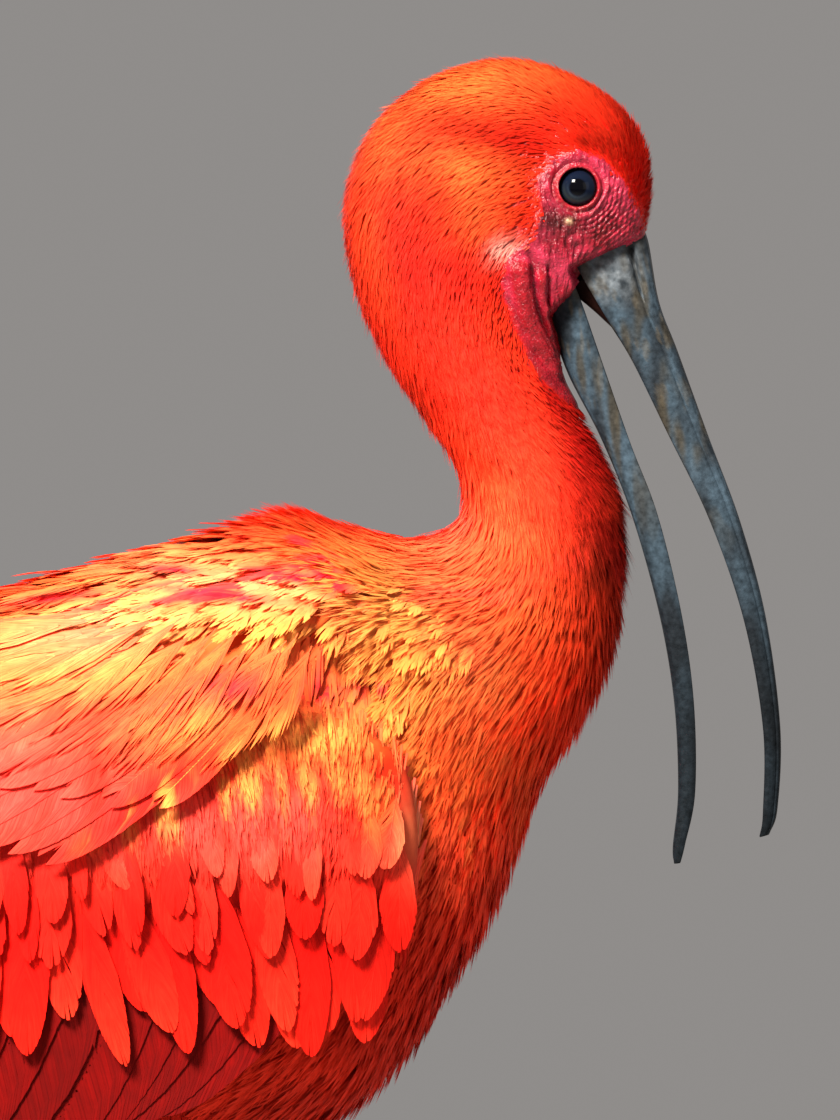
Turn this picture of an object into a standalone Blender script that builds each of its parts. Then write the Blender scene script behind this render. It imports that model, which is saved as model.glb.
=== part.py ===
"""Scarlet ibis, life size, standing still: a closed solid for each named part of the bird.

Every length in this file is in millimetres and MM turns it to metres where a mesh is made.
The bird faces +X, its left side is +Y, up is +Z, and its toes stand on the plane z = 0.
"""

import math

import bmesh
import bpy
import numpy as np
from mathutils import Vector

# Driving sizes
MM = 0.001
GAP = 0.3
MIDDLE_X = 0.0
EYE_RADIUS = 6.2
EYE_OPENING_RADIUS = 4.75
EYE_PLACE = (126.8, 412.8)
LID_RADIUS = 5.5
LID_THICKNESS = 1.15
VANE_THICKNESS = 0.55
VANE_CAMBER = 0.35
TARSUS_TOP = 98.0
TARSUS_FOOT = 7.0
STANCE_HALF_WIDTH = 23.0
FOOT_X = 8.0
ANKLE_BACK = 9.0
TOE_FLAT = 0.0

# Colours as red, green, blue
SCARLET = (0.83, 0.055, 0.025)
ORANGE_SCARLET = (0.9, 0.13, 0.03)
BARE_SKIN = (0.62, 0.06, 0.09)
BILL_SLATE = (0.06, 0.07, 0.085)
EYE_DARK = (0.012, 0.014, 0.022)
LEG_PINK = (0.62, 0.13, 0.12)
CLAW_GREY = (0.06, 0.05, 0.05)

# The flesh and its short coat, seen from the side. Each station joins a point of the nape and back
# to a point of the throat and belly: back x, back z, front x, front z, half width,
# place of the widest point from back to front, and how much the front side narrows.
STATIONS = (
    (143.8, 400.5, 126.8, 392.0, 8.5, 0.55, 0.0),
    (145.5, 412.5, 121.5, 382.0, 12.0, 0.50, 0.2),
    (143.6, 425.0, 120.5, 376.3, 14.4, 0.45, 0.35),
    (136.0, 435.3, 121.5, 372.0, 16.2, 0.42, 0.4),
    (122.5, 442.9, 122.5, 369.5, 17.5, 0.42, 0.4),
    (107.5, 445.6, 123.0, 367.5, 18.3, 0.45, 0.35),
    (90.0, 440.8, 123.6, 365.8, 18.8, 0.48, 0.3),
    (75.5, 428.5, 124.4, 363.8, 18.6, 0.50, 0.25),
    (68.4, 410.5, 126.2, 360.5, 18.0, 0.50, 0.15),
    (70.0, 391.0, 128.8, 356.0, 17.4, 0.50, 0.05),
    (76.5, 373.5, 132.2, 350.0, 17.2, 0.50, 0.0),
    (86.5, 357.0, 135.8, 342.5, 17.4, 0.50, 0.0),
    (94.5, 344.5, 138.4, 333.5, 17.8, 0.50, 0.0),
    (96.0, 333.5, 139.6, 318.5, 19.5, 0.50, 0.0),
    (88.5, 328.3, 137.0, 300.0, 24.0, 0.48, 0.05),
    (76.0, 328.8, 130.5, 283.0, 30.5, 0.45, 0.1),
    (58.0, 332.0, 120.0, 264.5, 38.5, 0.45, 0.1),
    (33.0, 327.8, 105.5, 230.0, 45.0, 0.45, 0.08),
    (4.0, 320.3, 81.0, 192.0, 47.5, 0.45, 0.05),
    (-24.0, 312.5, 47.0, 170.0, 47.0, 0.46, 0.0),
    (-50.0, 304.7, 9.0, 162.0, 44.0, 0.48, 0.0),
    (-76.0, 295.2, -29.0, 165.5, 38.0, 0.48, 0.0),
    (-98.0, 285.0, -64.0, 182.5, 30.0, 0.50, 0.0),
    (-113.0, 276.5, -88.0, 204.0, 22.5, 0.50, 0.0),
    (-124.0, 269.5, -103.0, 222.0, 17.0, 0.50, 0.0),
)
CHIN_STATION = 0.0
HEAD_END = 8.6
NECK_MIDDLE = 11.2
NECK_END = 14.2
RUMP_END = len(STATIONS) - 1.0
RING_POWER = 2.15

# Soft relief of the face: x, z, radius and height outwards
FACE_RELIEF = (
    (126.5, 423.5, 5.5, 1.3),
    (136.5, 405.0, 6.0, -1.6),
    (126.8, 412.8, 4.5, -1.2),
    (131.0, 396.5, 5.0, -1.0),
    (112.0, 405.0, 9.0, 1.0),
)

# Throat skin fold: x, z, radius, sunk depth under the cheek
THROAT_FOLD = (
    (110.5, 395.5, 1.3),
    (112.3, 386.0, 3.1),
    (116.5, 375.0, 3.2),
    (120.9, 367.0, 2.7),
    (124.0, 362.5, 1.2),
)

# The two halves of the bill, seen from the side: outer edge x, z, cutting edge x, z, half width
UPPER_BILL = (
    (142.3, 405.0, 124.5, 396.5, 7.2),
    (144.6, 399.5, 127.5, 391.0, 7.6),
    (147.3, 384.5, 133.8, 380.5, 6.6),
    (152.0, 372.0, 140.3, 370.0, 5.2),
    (159.6, 351.0, 149.4, 351.5, 4.1),
    (167.6, 329.5, 159.8, 330.0, 3.4),
    (174.0, 305.5, 168.4, 305.0, 3.0),
    (177.6, 278.0, 173.2, 278.0, 2.6),
    (176.9, 258.0, 173.2, 257.0, 2.2),
    (174.8, 251.3, 172.3, 250.6, 1.5),
)
LOWER_BILL = (
    (118.6, 385.5, 124.6, 391.5, 5.4),
    (120.0, 379.3, 127.3, 386.0, 5.8),
    (124.6, 366.3, 132.7, 370.5, 5.0),
    (132.8, 350.3, 140.0, 349.5, 3.9),
    (140.5, 331.0, 147.0, 331.0, 3.2),
    (147.3, 306.5, 153.0, 306.0, 2.7),
    (151.0, 284.5, 156.0, 284.0, 2.4),
    (152.0, 262.5, 156.3, 262.0, 2.1),
    (150.7, 248.5, 153.8, 249.0, 1.6),
    (151.0, 244.0, 152.6, 244.2, 0.9),
)

# Section of each half of the bill: share of the way to the cutting edge, share of the half width
UPPER_SECTION = (
    (0.0, 0.0), (0.05, 0.42), (0.2, 0.66), (0.29, 0.60), (0.38, 0.82),
    (0.62, 1.0), (0.86, 0.98), (1.0, 0.84), (0.9, 0.6), (0.86, 0.0),
)
LOWER_SECTION = (
    (0.0, 0.0), (0.08, 0.5), (0.35, 0.88), (0.7, 1.0), (1.0, 0.84), (0.88, 0.55), (0.84, 0.0),
)
NOSTRIL_SHARE = (0.1, 0.2)
NOSTRIL_DEPTH = 0.22


def catmull(points, t):
    """The smooth curve through the points, read at t, which counts whole points."""
    points = np.asarray(points, float)
    last = len(points) - 1
    t = min(max(t, 0.0), float(last))
    i = min(int(t), last - 1)
    f = t - i
    before = points[i - 1] if i > 0 else 2 * points[0] - points[1]
    after = points[i + 2] if i + 2 <= last else 2 * points[last] - points[last - 1]
    a, b = points[i], points[i + 1]
    return 0.5 * (
        2 * a + (b - before) * f + (2 * before - 5 * a + 4 * b - after) * f * f
        + (3 * a - before - 3 * b + after) * f ** 3
    )


def blend_step(low, high, value):
    f = min(max((value - low) / (high - low), 0.0), 1.0)
    return f * f * (3 - 2 * f)


def face_relief(x, z):
    """How far the face stands out from the plain oval head at this place."""
    return sum(
        height * math.exp(-((x - cx) ** 2 + (z - cz) ** 2) / (2 * (0.6 * radius) ** 2))
        for cx, cz, radius, height in FACE_RELIEF
    )


def section_point(t, angle):
    """A point of the body's surface: angle 0 is the back, pi is the front, and +Y lies between."""
    bx, bz, fx, fz, width, widest, narrow = catmull(STATIONS, t)
    c, s = math.cos(angle), math.sin(angle)
    c = math.copysign(abs(c) ** (2 / RING_POWER), c)
    s = math.copysign(abs(s) ** (2 / RING_POWER), s)
    share = widest - c * (widest if c > 0 else 1 - widest)
    x, z = bx + (fx - bx) * share, bz + (fz - bz) * share
    y = s * width * (1 - narrow * max(0.0, -c) ** 1.5)
    if t < HEAD_END and abs(s) > 0.2:
        y += math.copysign(face_relief(x, z) * min(1.0, abs(s)), s)
    return np.array((x, y, z))


RAIL_STEPS = np.linspace(NECK_END - 1.0, RUMP_END, 260)
RAILS = np.array([catmull(STATIONS, t) for t in RAIL_STEPS])


def torso_share(x, z):
    """The station whose ring passes through this side view place, and its share from back to belly."""
    back, front = RAILS[:, 0:2], RAILS[:, 2:4]
    along = front - back
    away = np.array((x, z)) - back
    side = along[:, 0] * away[:, 1] - along[:, 1] * away[:, 0]
    if side[0] > 0:
        k, f = 0, 0.0
    elif side[-1] < 0:
        k, f = len(side) - 2, 1.0
    else:
        k = int(np.argmax(side > 0)) - 1
        f = side[k] / (side[k] - side[k + 1])
    row = RAILS[k] * (1 - f) + RAILS[k + 1] * f
    span = row[2:4] - row[0:2]
    share = float(np.dot(np.array((x, z)) - row[0:2], span) / np.dot(span, span))
    return row, share


def flank(x, z):
    """Half width of the torso at this place of the side view, 0 outside its outline."""
    row, share = torso_share(x, z)
    widest = row[5]
    c = (widest - share) / widest if share < widest else (widest - share) / (1 - widest)
    if abs(c) >= 1:
        return 0.0
    return row[4] * (1 - abs(c) ** RING_POWER) ** (1 / RING_POWER)


WING_FRONT_X = 88.0
WING_WIDTHS = ((-178.0, 7.0), (-150.0, 12.0), (-120.0, 21.0), (-85.0, 33.5), (-45.0, 45.0),
               (0.0, 50.0), (45.0, 49.0), (75.0, 43.0), (100.0, 32.0))


def wing_sheet(x, z):
    """Half width at which the folded wing lies, which runs on past the torso to the wing tips."""
    widths = np.array(WING_WIDTHS)
    full = float(np.interp(x, widths[:, 0], widths[:, 1]))
    row, share = torso_share(x, z)
    widest = row[5]
    c = (widest - share) / widest * 0.92 if share < widest else (widest - share) / (1 - widest) * 0.5
    wrapped = full * (1 - min(abs(c), 0.97) ** RING_POWER) ** (1 / RING_POWER)
    return (wrapped ** 8 + (flank(x, z) + 0.8) ** 8) ** 0.125


def scapular_sheet(x, z):
    """Half width at which the shoulder feathers lie: on the back above, over the wing below."""
    row, share = torso_share(x, z)
    return wing_sheet(x, z) + 1.5 + 11.0 * blend_step(0.08, 0.34, share)


def on_sheet(sheet, x, z, height):
    """The point at this height over a sheet on the left side, and the sheet's normal there."""
    step = 1.0
    slope_x = (sheet(x + step, z) - sheet(x - step, z)) / (2 * step)
    slope_z = (sheet(x, z + step) - sheet(x, z - step)) / (2 * step)
    normal = np.array((-slope_x, 1.0, -slope_z))
    normal[[0, 2]] = np.clip(normal[[0, 2]], -1.6, 1.6)
    normal /= np.linalg.norm(normal)
    return np.array((x, sheet(x, z), z)) + normal * height, normal


def material(name, colour, roughness, metallic=0.0):
    found = bpy.data.materials.get(name)
    if found:
        return found
    made = bpy.data.materials.new(name)
    made.use_nodes = True
    shader = made.node_tree.nodes["Principled BSDF"]
    shader.inputs["Base Color"].default_value = (*colour, 1.0)
    shader.inputs["Roughness"].default_value = roughness
    shader.inputs["Metallic"].default_value = metallic
    return made


def mesh_object(name, points, faces, finish=None, side=1):
    """A closed mesh from points in millimetres. side -1 mirrors it to the bird's right."""
    scale = Vector((MM, MM * side, MM))
    bm = bmesh.new()
    verts = [bm.verts.new(Vector(p) * scale) for p in
             (Vector((q[0] - MIDDLE_X, q[1], q[2])) for q in points)]
    for face in faces:
        bm.faces.new([verts[i] for i in face])
    bmesh.ops.triangulate(bm, faces=bm.faces)
    bmesh.ops.recalc_face_normals(bm, faces=bm.faces)
    mesh = bpy.data.meshes.new(name)
    bm.to_mesh(mesh)
    bm.free()
    obj = bpy.data.objects.new(name, mesh)
    bpy.context.scene.collection.objects.link(obj)
    if finish:
        mesh.materials.append(finish)
    return obj


def loft_faces(rows, count, first_cap=True, last_cap=True):
    """Quads between rings of equal count, with an end cap on each open end."""
    faces = []
    for i in range(rows - 1):
        for j in range(count):
            k = (j + 1) % count
            faces.append((i * count + j, i * count + k, (i + 1) * count + k, (i + 1) * count + j))
    if first_cap:
        faces.append(tuple(range(count)))
    if last_cap:
        faces.append(tuple((rows - 1) * count + j for j in reversed(range(count))))
    return faces


def loft(name, rings, finish=None, side=1):
    count = len(rings[0])
    points = [p for ring in rings for p in ring]
    return mesh_object(name, points, loft_faces(len(rings), count), finish, side)


def body_loft(name, start, end, rings, count, finish):
    """One length of the body between two stations."""
    angles = [2 * math.pi * (j + 0.5) / count for j in range(count)]
    steps = np.linspace(start, end, rings)
    return loft(name, [[section_point(t, a) for a in angles] for t in steps], finish)


def tube(name, path, radii, count, finish=None, side=1, flat=None, squeeze=1.0):
    """A tapering tube along a path of points. flat is a height that no point goes under."""
    path = [np.asarray(p, float) for p in path]
    rings = []
    for i, p in enumerate(path):
        ahead = path[min(i + 1, len(path) - 1)] - path[max(i - 1, 0)]
        ahead = ahead / np.linalg.norm(ahead)
        across = np.cross(ahead, (0.0, 0.0, 1.0))
        if np.linalg.norm(across) < 0.3:
            across = np.cross(ahead, (1.0, 0.0, 0.0))
        across = across / np.linalg.norm(across)
        up = np.cross(across, ahead)
        ring = []
        for j in range(count):
            a = 2 * math.pi * (j + 0.5) / count
            q = p + radii[i] * (across * math.cos(a) * squeeze + up * math.sin(a))
            if flat is not None:
                q[2] = max(q[2], flat)
            ring.append(q)
        rings.append(ring)
    return loft(name, rings, finish, side)


def largest_surface(obj):
    """Keeps only the largest closed surface of the mesh."""
    bm = bmesh.new()
    bm.from_mesh(obj.data)
    left = set(bm.faces)
    groups = []
    while left:
        seed = left.pop()
        group, edge_of = {seed}, [seed]
        while edge_of:
            face = edge_of.pop()
            for edge in face.edges:
                for other in edge.link_faces:
                    if other in left:
                        left.discard(other)
                        group.add(other)
                        edge_of.append(other)
        groups.append(group)
    groups.sort(key=lambda g: sum(f.calc_area() for f in g), reverse=True)
    for group in groups[1:]:
        bmesh.ops.delete(bm, geom=list(group), context="FACES")
    bmesh.ops.triangulate(bm, faces=bm.faces)
    bm.to_mesh(obj.data)
    bm.free()


def boolean(obj, others, operation):
    """Applies one Boolean with a collection of closed meshes, and removes them."""
    group = bpy.data.collections.new(obj.name + "_pieces")
    bpy.context.scene.collection.children.link(group)
    for other in others:
        group.objects.link(other)
        bpy.context.scene.collection.objects.unlink(other)
    modifier = obj.modifiers.new(operation.lower(), "BOOLEAN")
    modifier.operation = operation
    modifier.operand_type = "COLLECTION"
    modifier.collection = group
    modifier.solver = "MANIFOLD"
    bpy.context.view_layer.update()
    graph = bpy.context.evaluated_depsgraph_get()
    made = bpy.data.meshes.new_from_object(obj.evaluated_get(graph))
    obj.modifiers.clear()
    materials = list(obj.data.materials)
    obj.data = made
    obj.data.materials.clear()
    for finish in materials:
        obj.data.materials.append(finish)
    for other in list(group.objects):
        bpy.data.objects.remove(other)
    bpy.data.collections.remove(group)
    largest_surface(obj)
    return obj


def fuse(obj, pieces):
    return boolean(obj, pieces, "UNION")


def swollen(obj, gap):
    """A copy of a solid that stands out all round by the gap."""
    bm = bmesh.new()
    bm.from_mesh(obj.data)
    bm.normal_update()
    for vert in bm.verts:
        vert.co += vert.normal * gap * MM
    mesh = bpy.data.meshes.new(obj.name + "_swollen")
    bm.to_mesh(mesh)
    bm.free()
    copy = bpy.data.objects.new(obj.name + "_swollen", mesh)
    bpy.context.scene.collection.objects.link(copy)
    return copy


def clear_of(obj, neighbours):
    """Cuts the solid back so that it meets its neighbours face to face, a gap away."""
    for neighbour in neighbours:
        for gap in (GAP * 1.2, 0.0):
            boolean(obj, [swollen(neighbour, gap)], "DIFFERENCE")
    return obj


# Shares of a vane's length and how wide it is there, for long feathers and for coverts
LONG_OUTLINE = ((0.0, 0.3), (0.42, 0.96), (0.82, 0.8))
COVERT_OUTLINE = ((0.0, 0.4), (0.5, 1.0), (0.84, 0.72))


def vane(name, place, length, width, side, outline):
    """One feather: a thin cambered blade. place(along, across) gives an outer point and its normal."""
    outer, inner = [], []
    for share, wide in outline:
        for across in (-1, 0, 1):
            p, n = place(share * length, across * wide * width / 2)
            p = p + n * VANE_CAMBER * (1 - abs(across))
            outer.append(p)
            inner.append(p - n * VANE_THICKNESS)
    p, n = place(length, 0.0)
    outer.append(p)
    inner.append(p - n * VANE_THICKNESS * 0.5)
    rows = len(outline)
    tip, shift = 3 * rows, 3 * rows + 1
    faces = []
    for i in range(rows - 1):
        for j in (0, 1):
            a, b = 3 * i + j, 3 * i + j + 1
            c, d = b + 3, a + 3
            for tri in ((a, b, c), (a, c, d)) if j == 0 else ((a, b, d), (b, c, d)):
                faces.append(tri)
                faces.append(tuple(v + shift for v in reversed(tri)))
    for a, b in ((tip - 3, tip - 2), (tip - 2, tip - 1)):
        faces.append((a, b, tip))
        faces.append((tip + shift, b + shift, a + shift))
    rim = [0, 1, 2] + [3 * i + 2 for i in range(1, rows)] + [tip]
    rim += [3 * i for i in reversed(range(1, rows))]
    for a, b in zip(rim, rim[1:] + rim[:1]):
        faces.append((a, a + shift, b + shift))
        faces.append((a, b + shift, b))
    return mesh_object(name, outer + inner, faces, None, side)


def sheet_vane(name, sheet, root, angle, bend, length, width, lift, roll, side, outline):
    """A feather lying over a sheet of the flank. angle is down from straight back, in degrees."""
    def place(along, across):
        share = along / length
        turn = math.radians(angle + bend * share)
        middle = math.radians(angle + bend * share / 2)
        x = root[0] - math.cos(middle) * along + math.sin(turn) * across
        z = root[1] - math.sin(middle) * along - math.cos(turn) * across
        height = lift[0] + (lift[1] - lift[0]) * share - roll * across
        return on_sheet(sheet, x, z, height)
    return vane(name, place, length, width, side, outline)


def feather_row(name, sheet, count, roots, angles, bend, lengths, widths, lift, roll, side, seed,
                outline=LONG_OUTLINE):
    """A tier of feathers, evenly varied. angles are pairs of a root's x and its feather's angle."""
    chance = np.random.default_rng(seed)
    turns = np.array(angles, float)
    made = []
    for i in range(count):
        f = i / (count - 1)
        root = [a + (b - a) * f for a, b in zip(*roots)]
        angle = float(np.interp(root[0], turns[:, 0], turns[:, 1])) + chance.uniform(-1.2, 1.2)
        length = (lengths[0] + (lengths[1] - lengths[0]) * f) * chance.uniform(0.96, 1.04)
        width = widths[0] + (widths[1] - widths[0]) * f
        made.append(sheet_vane(f"{name}_{i}", sheet, root, angle, bend, length, width,
                               lift, roll, side, outline))
    return made


# Outline of the folded arm, seen from the side: top x, z, bottom x, z, thickness
ARM_OUTLINE = (
    (86.5, 258.0, 87.0, 250.0, 2.0),
    (82.5, 272.0, 84.5, 234.5, 6.5),
    (70.0, 283.0, 75.0, 227.5, 8.5),
    (50.0, 287.0, 58.0, 227.0, 9.0),
    (25.0, 284.0, 33.0, 228.0, 9.0),
    (0.0, 273.0, 8.0, 229.0, 8.5),
    (-20.0, 263.0, -12.0, 230.0, 6.5),
    (-42.0, 250.0, -36.0, 230.0, 2.2),
    (-70.0, 238.0, -64.0, 223.0, 0.8),
)
ARM_DEPTH = 4.0


def arm_core(name, side, finish):
    """The covert-clad arm of the folded wing, a pad along the flank."""
    rings = []
    for i in np.linspace(0, len(ARM_OUTLINE) - 1, 12):
        tx, tz, bx, bz, thick = catmull(ARM_OUTLINE, i)
        ring = []
        for j in range(6):
            f = j / 5
            bulge = math.sin(math.pi * min(max(f, 0.06), 0.94)) ** 0.55
            ring.append(on_sheet(wing_sheet, tx + (bx - tx) * f, tz + (bz - tz) * f, thick * bulge)[0])
        for j in range(5, -1, -1):
            f = j / 5
            ring.append(on_sheet(wing_sheet, tx + (bx - tx) * f, tz + (bz - tz) * f,
                                 -min(ARM_DEPTH, 1.0 + 0.6 * thick))[0])
        rings.append(ring)
    return loft(name, rings, finish, side)


# How steeply the wing feathers hang, from straight back, for each place of their roots
PRIMARY_TURNS = ((-62.0, 22.0), (-42.0, 38.0))
SECONDARY_TURNS = ((-40.0, 38.0), (-8.0, 62.0), (25.0, 64.0), (66.0, 50.0))
COVERT_TURNS = ((-30.0, 60.0), (-12.0, 90.0), (5.0, 101.0), (45.0, 97.0), (72.0, 86.0), (82.0, 78.0))
TERTIAL_TURNS = ((-16.0, 22.0), (6.0, 32.0))
SCAPULAR_TURNS = ((-4.0, 14.0), (48.0, 46.0))


def wing(name, side, torso, finish):
    core = arm_core(name, side, finish)
    sheet = wing_sheet
    tiers = feather_row("primary", sheet, 5, ((-62, 231), (-42, 235)), PRIMARY_TURNS, 4,
                        (112, 94), (15, 17), (0.0, 0.4), -0.1, side, 1)
    tiers += feather_row("secondary", sheet, 7, ((-38, 238), (66, 235)), SECONDARY_TURNS, -8,
                         (84, 72), (23, 22), (2.2, 2.8), -0.09, side, 2, COVERT_OUTLINE)
    tiers += feather_row("greater", sheet, 7, ((-26, 243), (75, 239)), COVERT_TURNS, 4,
                         (44, 40), (21, 19), (4.6, 5.2), -0.09, side, 3, COVERT_OUTLINE)
    tiers += feather_row("median", sheet, 6, ((-12, 254), (76, 250)), COVERT_TURNS, 2,
                         (31, 27), (21, 19), (7.2, 7.8), -0.09, side, 4, COVERT_OUTLINE)
    tiers += feather_row("tertial", sheet, 3, ((-16, 257), (6, 266)), TERTIAL_TURNS, -4,
                         (100, 88), (24, 24), (6.2, 6.0), -0.09, side, 6)
    fuse(core, tiers)
    return clear_of(core, [torso])


# Where the shoulder feathers root: station, and the angles round the body of its two borders
SCAPULAR_ROOTS = (
    (15.8, 38.0, 60.0, 0.15),
    (16.3, 34.0, 70.0, 0.5),
    (17.0, 30.0, 74.0, 0.95),
    (18.0, 30.0, 66.0, 1.0),
    (19.0, 32.0, 60.0, 0.95),
    (20.0, 36.0, 58.0, 0.75),
    (20.9, 42.0, 57.0, 0.4),
)
SCAPULAR_RISE = 11.5


def over_torso(t, angle, height):
    """The point at this height over the torso's surface on the left side."""
    step = 0.04
    along = section_point(t + step, angle) - section_point(t - step, angle)
    around = section_point(t, angle + step) - section_point(t, angle - step)
    normal = np.cross(along, around)
    normal /= np.linalg.norm(normal)
    if normal[1] < 0:
        normal = -normal
    return section_point(t, angle) + normal * height


def scapulars(name, side, torso, finish):
    """The shoulder feathers, rooted on the back over the wing and draped over its top."""
    rings = []
    for i in np.linspace(0, len(SCAPULAR_ROOTS) - 1, 9):
        t, low, high, rise = catmull(SCAPULAR_ROOTS, i)
        shares = np.linspace(0.0, 1.0, 5)
        angles = [math.radians(low + (high - low) * f) for f in shares]
        ring = [over_torso(t, a, -0.8 + SCAPULAR_RISE * rise * f ** 1.3) for a, f in zip(angles, shares)]
        ring += [over_torso(t, a, -4.0) for a in reversed(angles)]
        rings.append(ring)
    core = loft(name, rings, finish, side)
    rows = feather_row("scapular", scapular_sheet, 6, ((-4, 299), (48, 291)), SCAPULAR_TURNS, -4,
                       (104, 70), (25, 24), (-1.6, 0.9), -0.09, side, 5, COVERT_OUTLINE)
    fuse(core, rows)
    return clear_of(core, [torso])


def eye(name, side, finish):
    x, z = EYE_PLACE
    bm = bmesh.new()
    bmesh.ops.create_uvsphere(bm, u_segments=12, v_segments=8, radius=EYE_RADIUS * MM)
    bmesh.ops.translate(bm, verts=bm.verts,
                        vec=Vector((x - MIDDLE_X, side * eye_depth(), z)) * MM)
    mesh = bpy.data.meshes.new(name)
    bm.to_mesh(mesh)
    bm.free()
    obj = bpy.data.objects.new(name, mesh)
    bpy.context.scene.collection.objects.link(obj)
    mesh.materials.append(finish)
    return obj


HEAD_POINTS = np.array([section_point(t, angle) for t in np.linspace(0.3, HEAD_END, 90)
                        for angle in np.linspace(0.2, math.pi - 0.2, 40)])


def head_side(x, z):
    """Half width of the head at this place of the side view."""
    away = (HEAD_POINTS[:, 0] - x) ** 2 + (HEAD_POINTS[:, 2] - z) ** 2
    return float(HEAD_POINTS[np.argmin(away), 1])


def eye_depth():
    return head_side(*EYE_PLACE) - math.sqrt(EYE_RADIUS ** 2 - EYE_OPENING_RADIUS ** 2) - 0.1


def lid_ring(side):
    """The swollen rim of bare skin round the eye."""
    x, z = EYE_PLACE
    y = head_side(x, z)
    around, section = 14, 5
    rings = []
    for i in range(around):
        a = 2 * math.pi * i / around
        ring = []
        for j in range(section):
            b = 2 * math.pi * j / section
            r = LID_RADIUS + LID_THICKNESS * math.cos(b)
            ring.append((x + math.cos(a) * r, y + 0.2 + LID_THICKNESS * 1.3 * math.sin(b),
                         z + math.sin(a) * r))
        rings.append(ring)
    points = [p for ring in rings for p in ring]
    faces = []
    for i in range(around):
        for j in range(section):
            k, m = (j + 1) % section, (i + 1) % around
            faces.append((i * section + j, i * section + k, m * section + k, m * section + j))
    return mesh_object("lid", points, faces, None, side)


def throat_fold(side):
    steps = np.linspace(0, len(THROAT_FOLD) - 1, 8)
    path, radii = [], []
    for i in steps:
        x, z, radius = catmull(THROAT_FOLD, i)
        f = i / (len(THROAT_FOLD) - 1)
        y = (head_side(x, z) - 0.8) * (1 - f) ** 0.35
        path.append((x, y, z))
        radii.append(radius)
    return tube("fold", path, radii, 7, None, side)


def bill_half(name, stations, section, finish, nostril):
    """Half of the bill, lofted along its two edges with a grooved or rounded section."""
    rings = []
    steps = np.linspace(0, len(stations) - 1, 18)
    for i in steps:
        ox, oz, cx, cz, width = catmull(stations, i)
        f = i / (len(stations) - 1)
        deeper = NOSTRIL_DEPTH if nostril and NOSTRIL_SHARE[0] < f < NOSTRIL_SHARE[1] else 0.0
        ring = []
        for k, (share, wide) in enumerate(section):
            if k == 3:
                wide -= deeper
            ring.append((ox + (cx - ox) * share, wide * width, oz + (cz - oz) * share))
        for share, wide in reversed(section[1:-1]):
            k = section.index((share, wide))
            if k == 3:
                wide -= deeper
            ring.append((ox + (cx - ox) * share, -wide * width, oz + (cz - oz) * share))
        rings.append(ring)
    return loft(name, rings, finish)


RUMP_MIDDLE = (-113.3, 0.0, 245.8)
TAIL_LENGTH = 69.0
TAIL_DROOP = math.radians(20)
RUMP_SHAPE = ((-3.0, 0.97), (0.6, 0.97), (10.0, 0.84), (22.0, 0.6), (34.0, 0.36), (42.0, 0.2))


def tail_axes(droop):
    """The way back and the way up of a feather that droops from level."""
    back = np.array((-math.cos(droop), 0.0, -math.sin(droop)))
    up = np.array((-math.sin(droop), 0.0, math.cos(droop)))
    return back, up


def tail_vane(name, root, fan, steeper, length, width, lean, arch, outline):
    """A feather of the tail: root is back, out and up from the rump's middle, fan in degrees."""
    back, up = tail_axes(TAIL_DROOP)
    start = np.array(RUMP_MIDDLE) + back * root[0] + up * root[2] + np.array((0.0, root[1], 0.0))
    back, up = tail_axes(TAIL_DROOP + math.radians(steeper))
    out = np.array((0.0, 1.0, 0.0))
    turn = math.radians(fan)
    ahead = back * math.cos(turn) + out * math.sin(turn)
    beside = out * math.cos(turn) - back * math.sin(turn)

    def place(along, across):
        p = start + ahead * along + beside * across
        return p - up * (arch * p[1] ** 2 + lean * across), up
    return vane(name, place, length, width, 1, outline)


def tail(name, torso, finish):
    """Twelve tail feathers fanned from the rump, with the coverts over and under their roots."""
    base = [section_point(RUMP_END, 2 * math.pi * (j + 0.5) / 16) for j in range(16)]
    middle, back = np.array(RUMP_MIDDLE), tail_axes(TAIL_DROOP)[0]
    core = loft(name, [[middle + (p - middle) * size + back * along for p in base]
                       for along, size in RUMP_SHAPE], finish)
    feathers = []
    for i in range(12):
        f = (i - 5.5) / 5.5
        level = 2.8 - 5.6 * abs(f) + (0.5 if f > 0 else 0.0)
        feathers.append(tail_vane(f"rectrix_{i}", (22.0, 6.0 * f, level), 21 * f, 0,
                                  TAIL_LENGTH - 22.0 - 2 * abs(f), 18, 0.0, 0.003, LONG_OUTLINE))
    for i in range(4):
        f = (i - 1.5) / 1.5
        side = 1 if f > 0 else -1
        feathers.append(tail_vane(f"upper_{i}", (9.0, 9.0 * f, 16.0 - 3.5 * abs(f)), 8 * f, 17,
                                  39 - 3 * abs(f), 18, 0.09 * side, 0.01, COVERT_OUTLINE))
        feathers.append(tail_vane(f"under_{i}", (9.0, 8.0 * f, -15.0 + 3.5 * abs(f)), 8 * f, -17,
                                  44 - 3 * abs(f), 17, -0.09 * side, -0.01, COVERT_OUTLINE))
    fuse(core, feathers)
    return clear_of(core, [torso])


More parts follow.
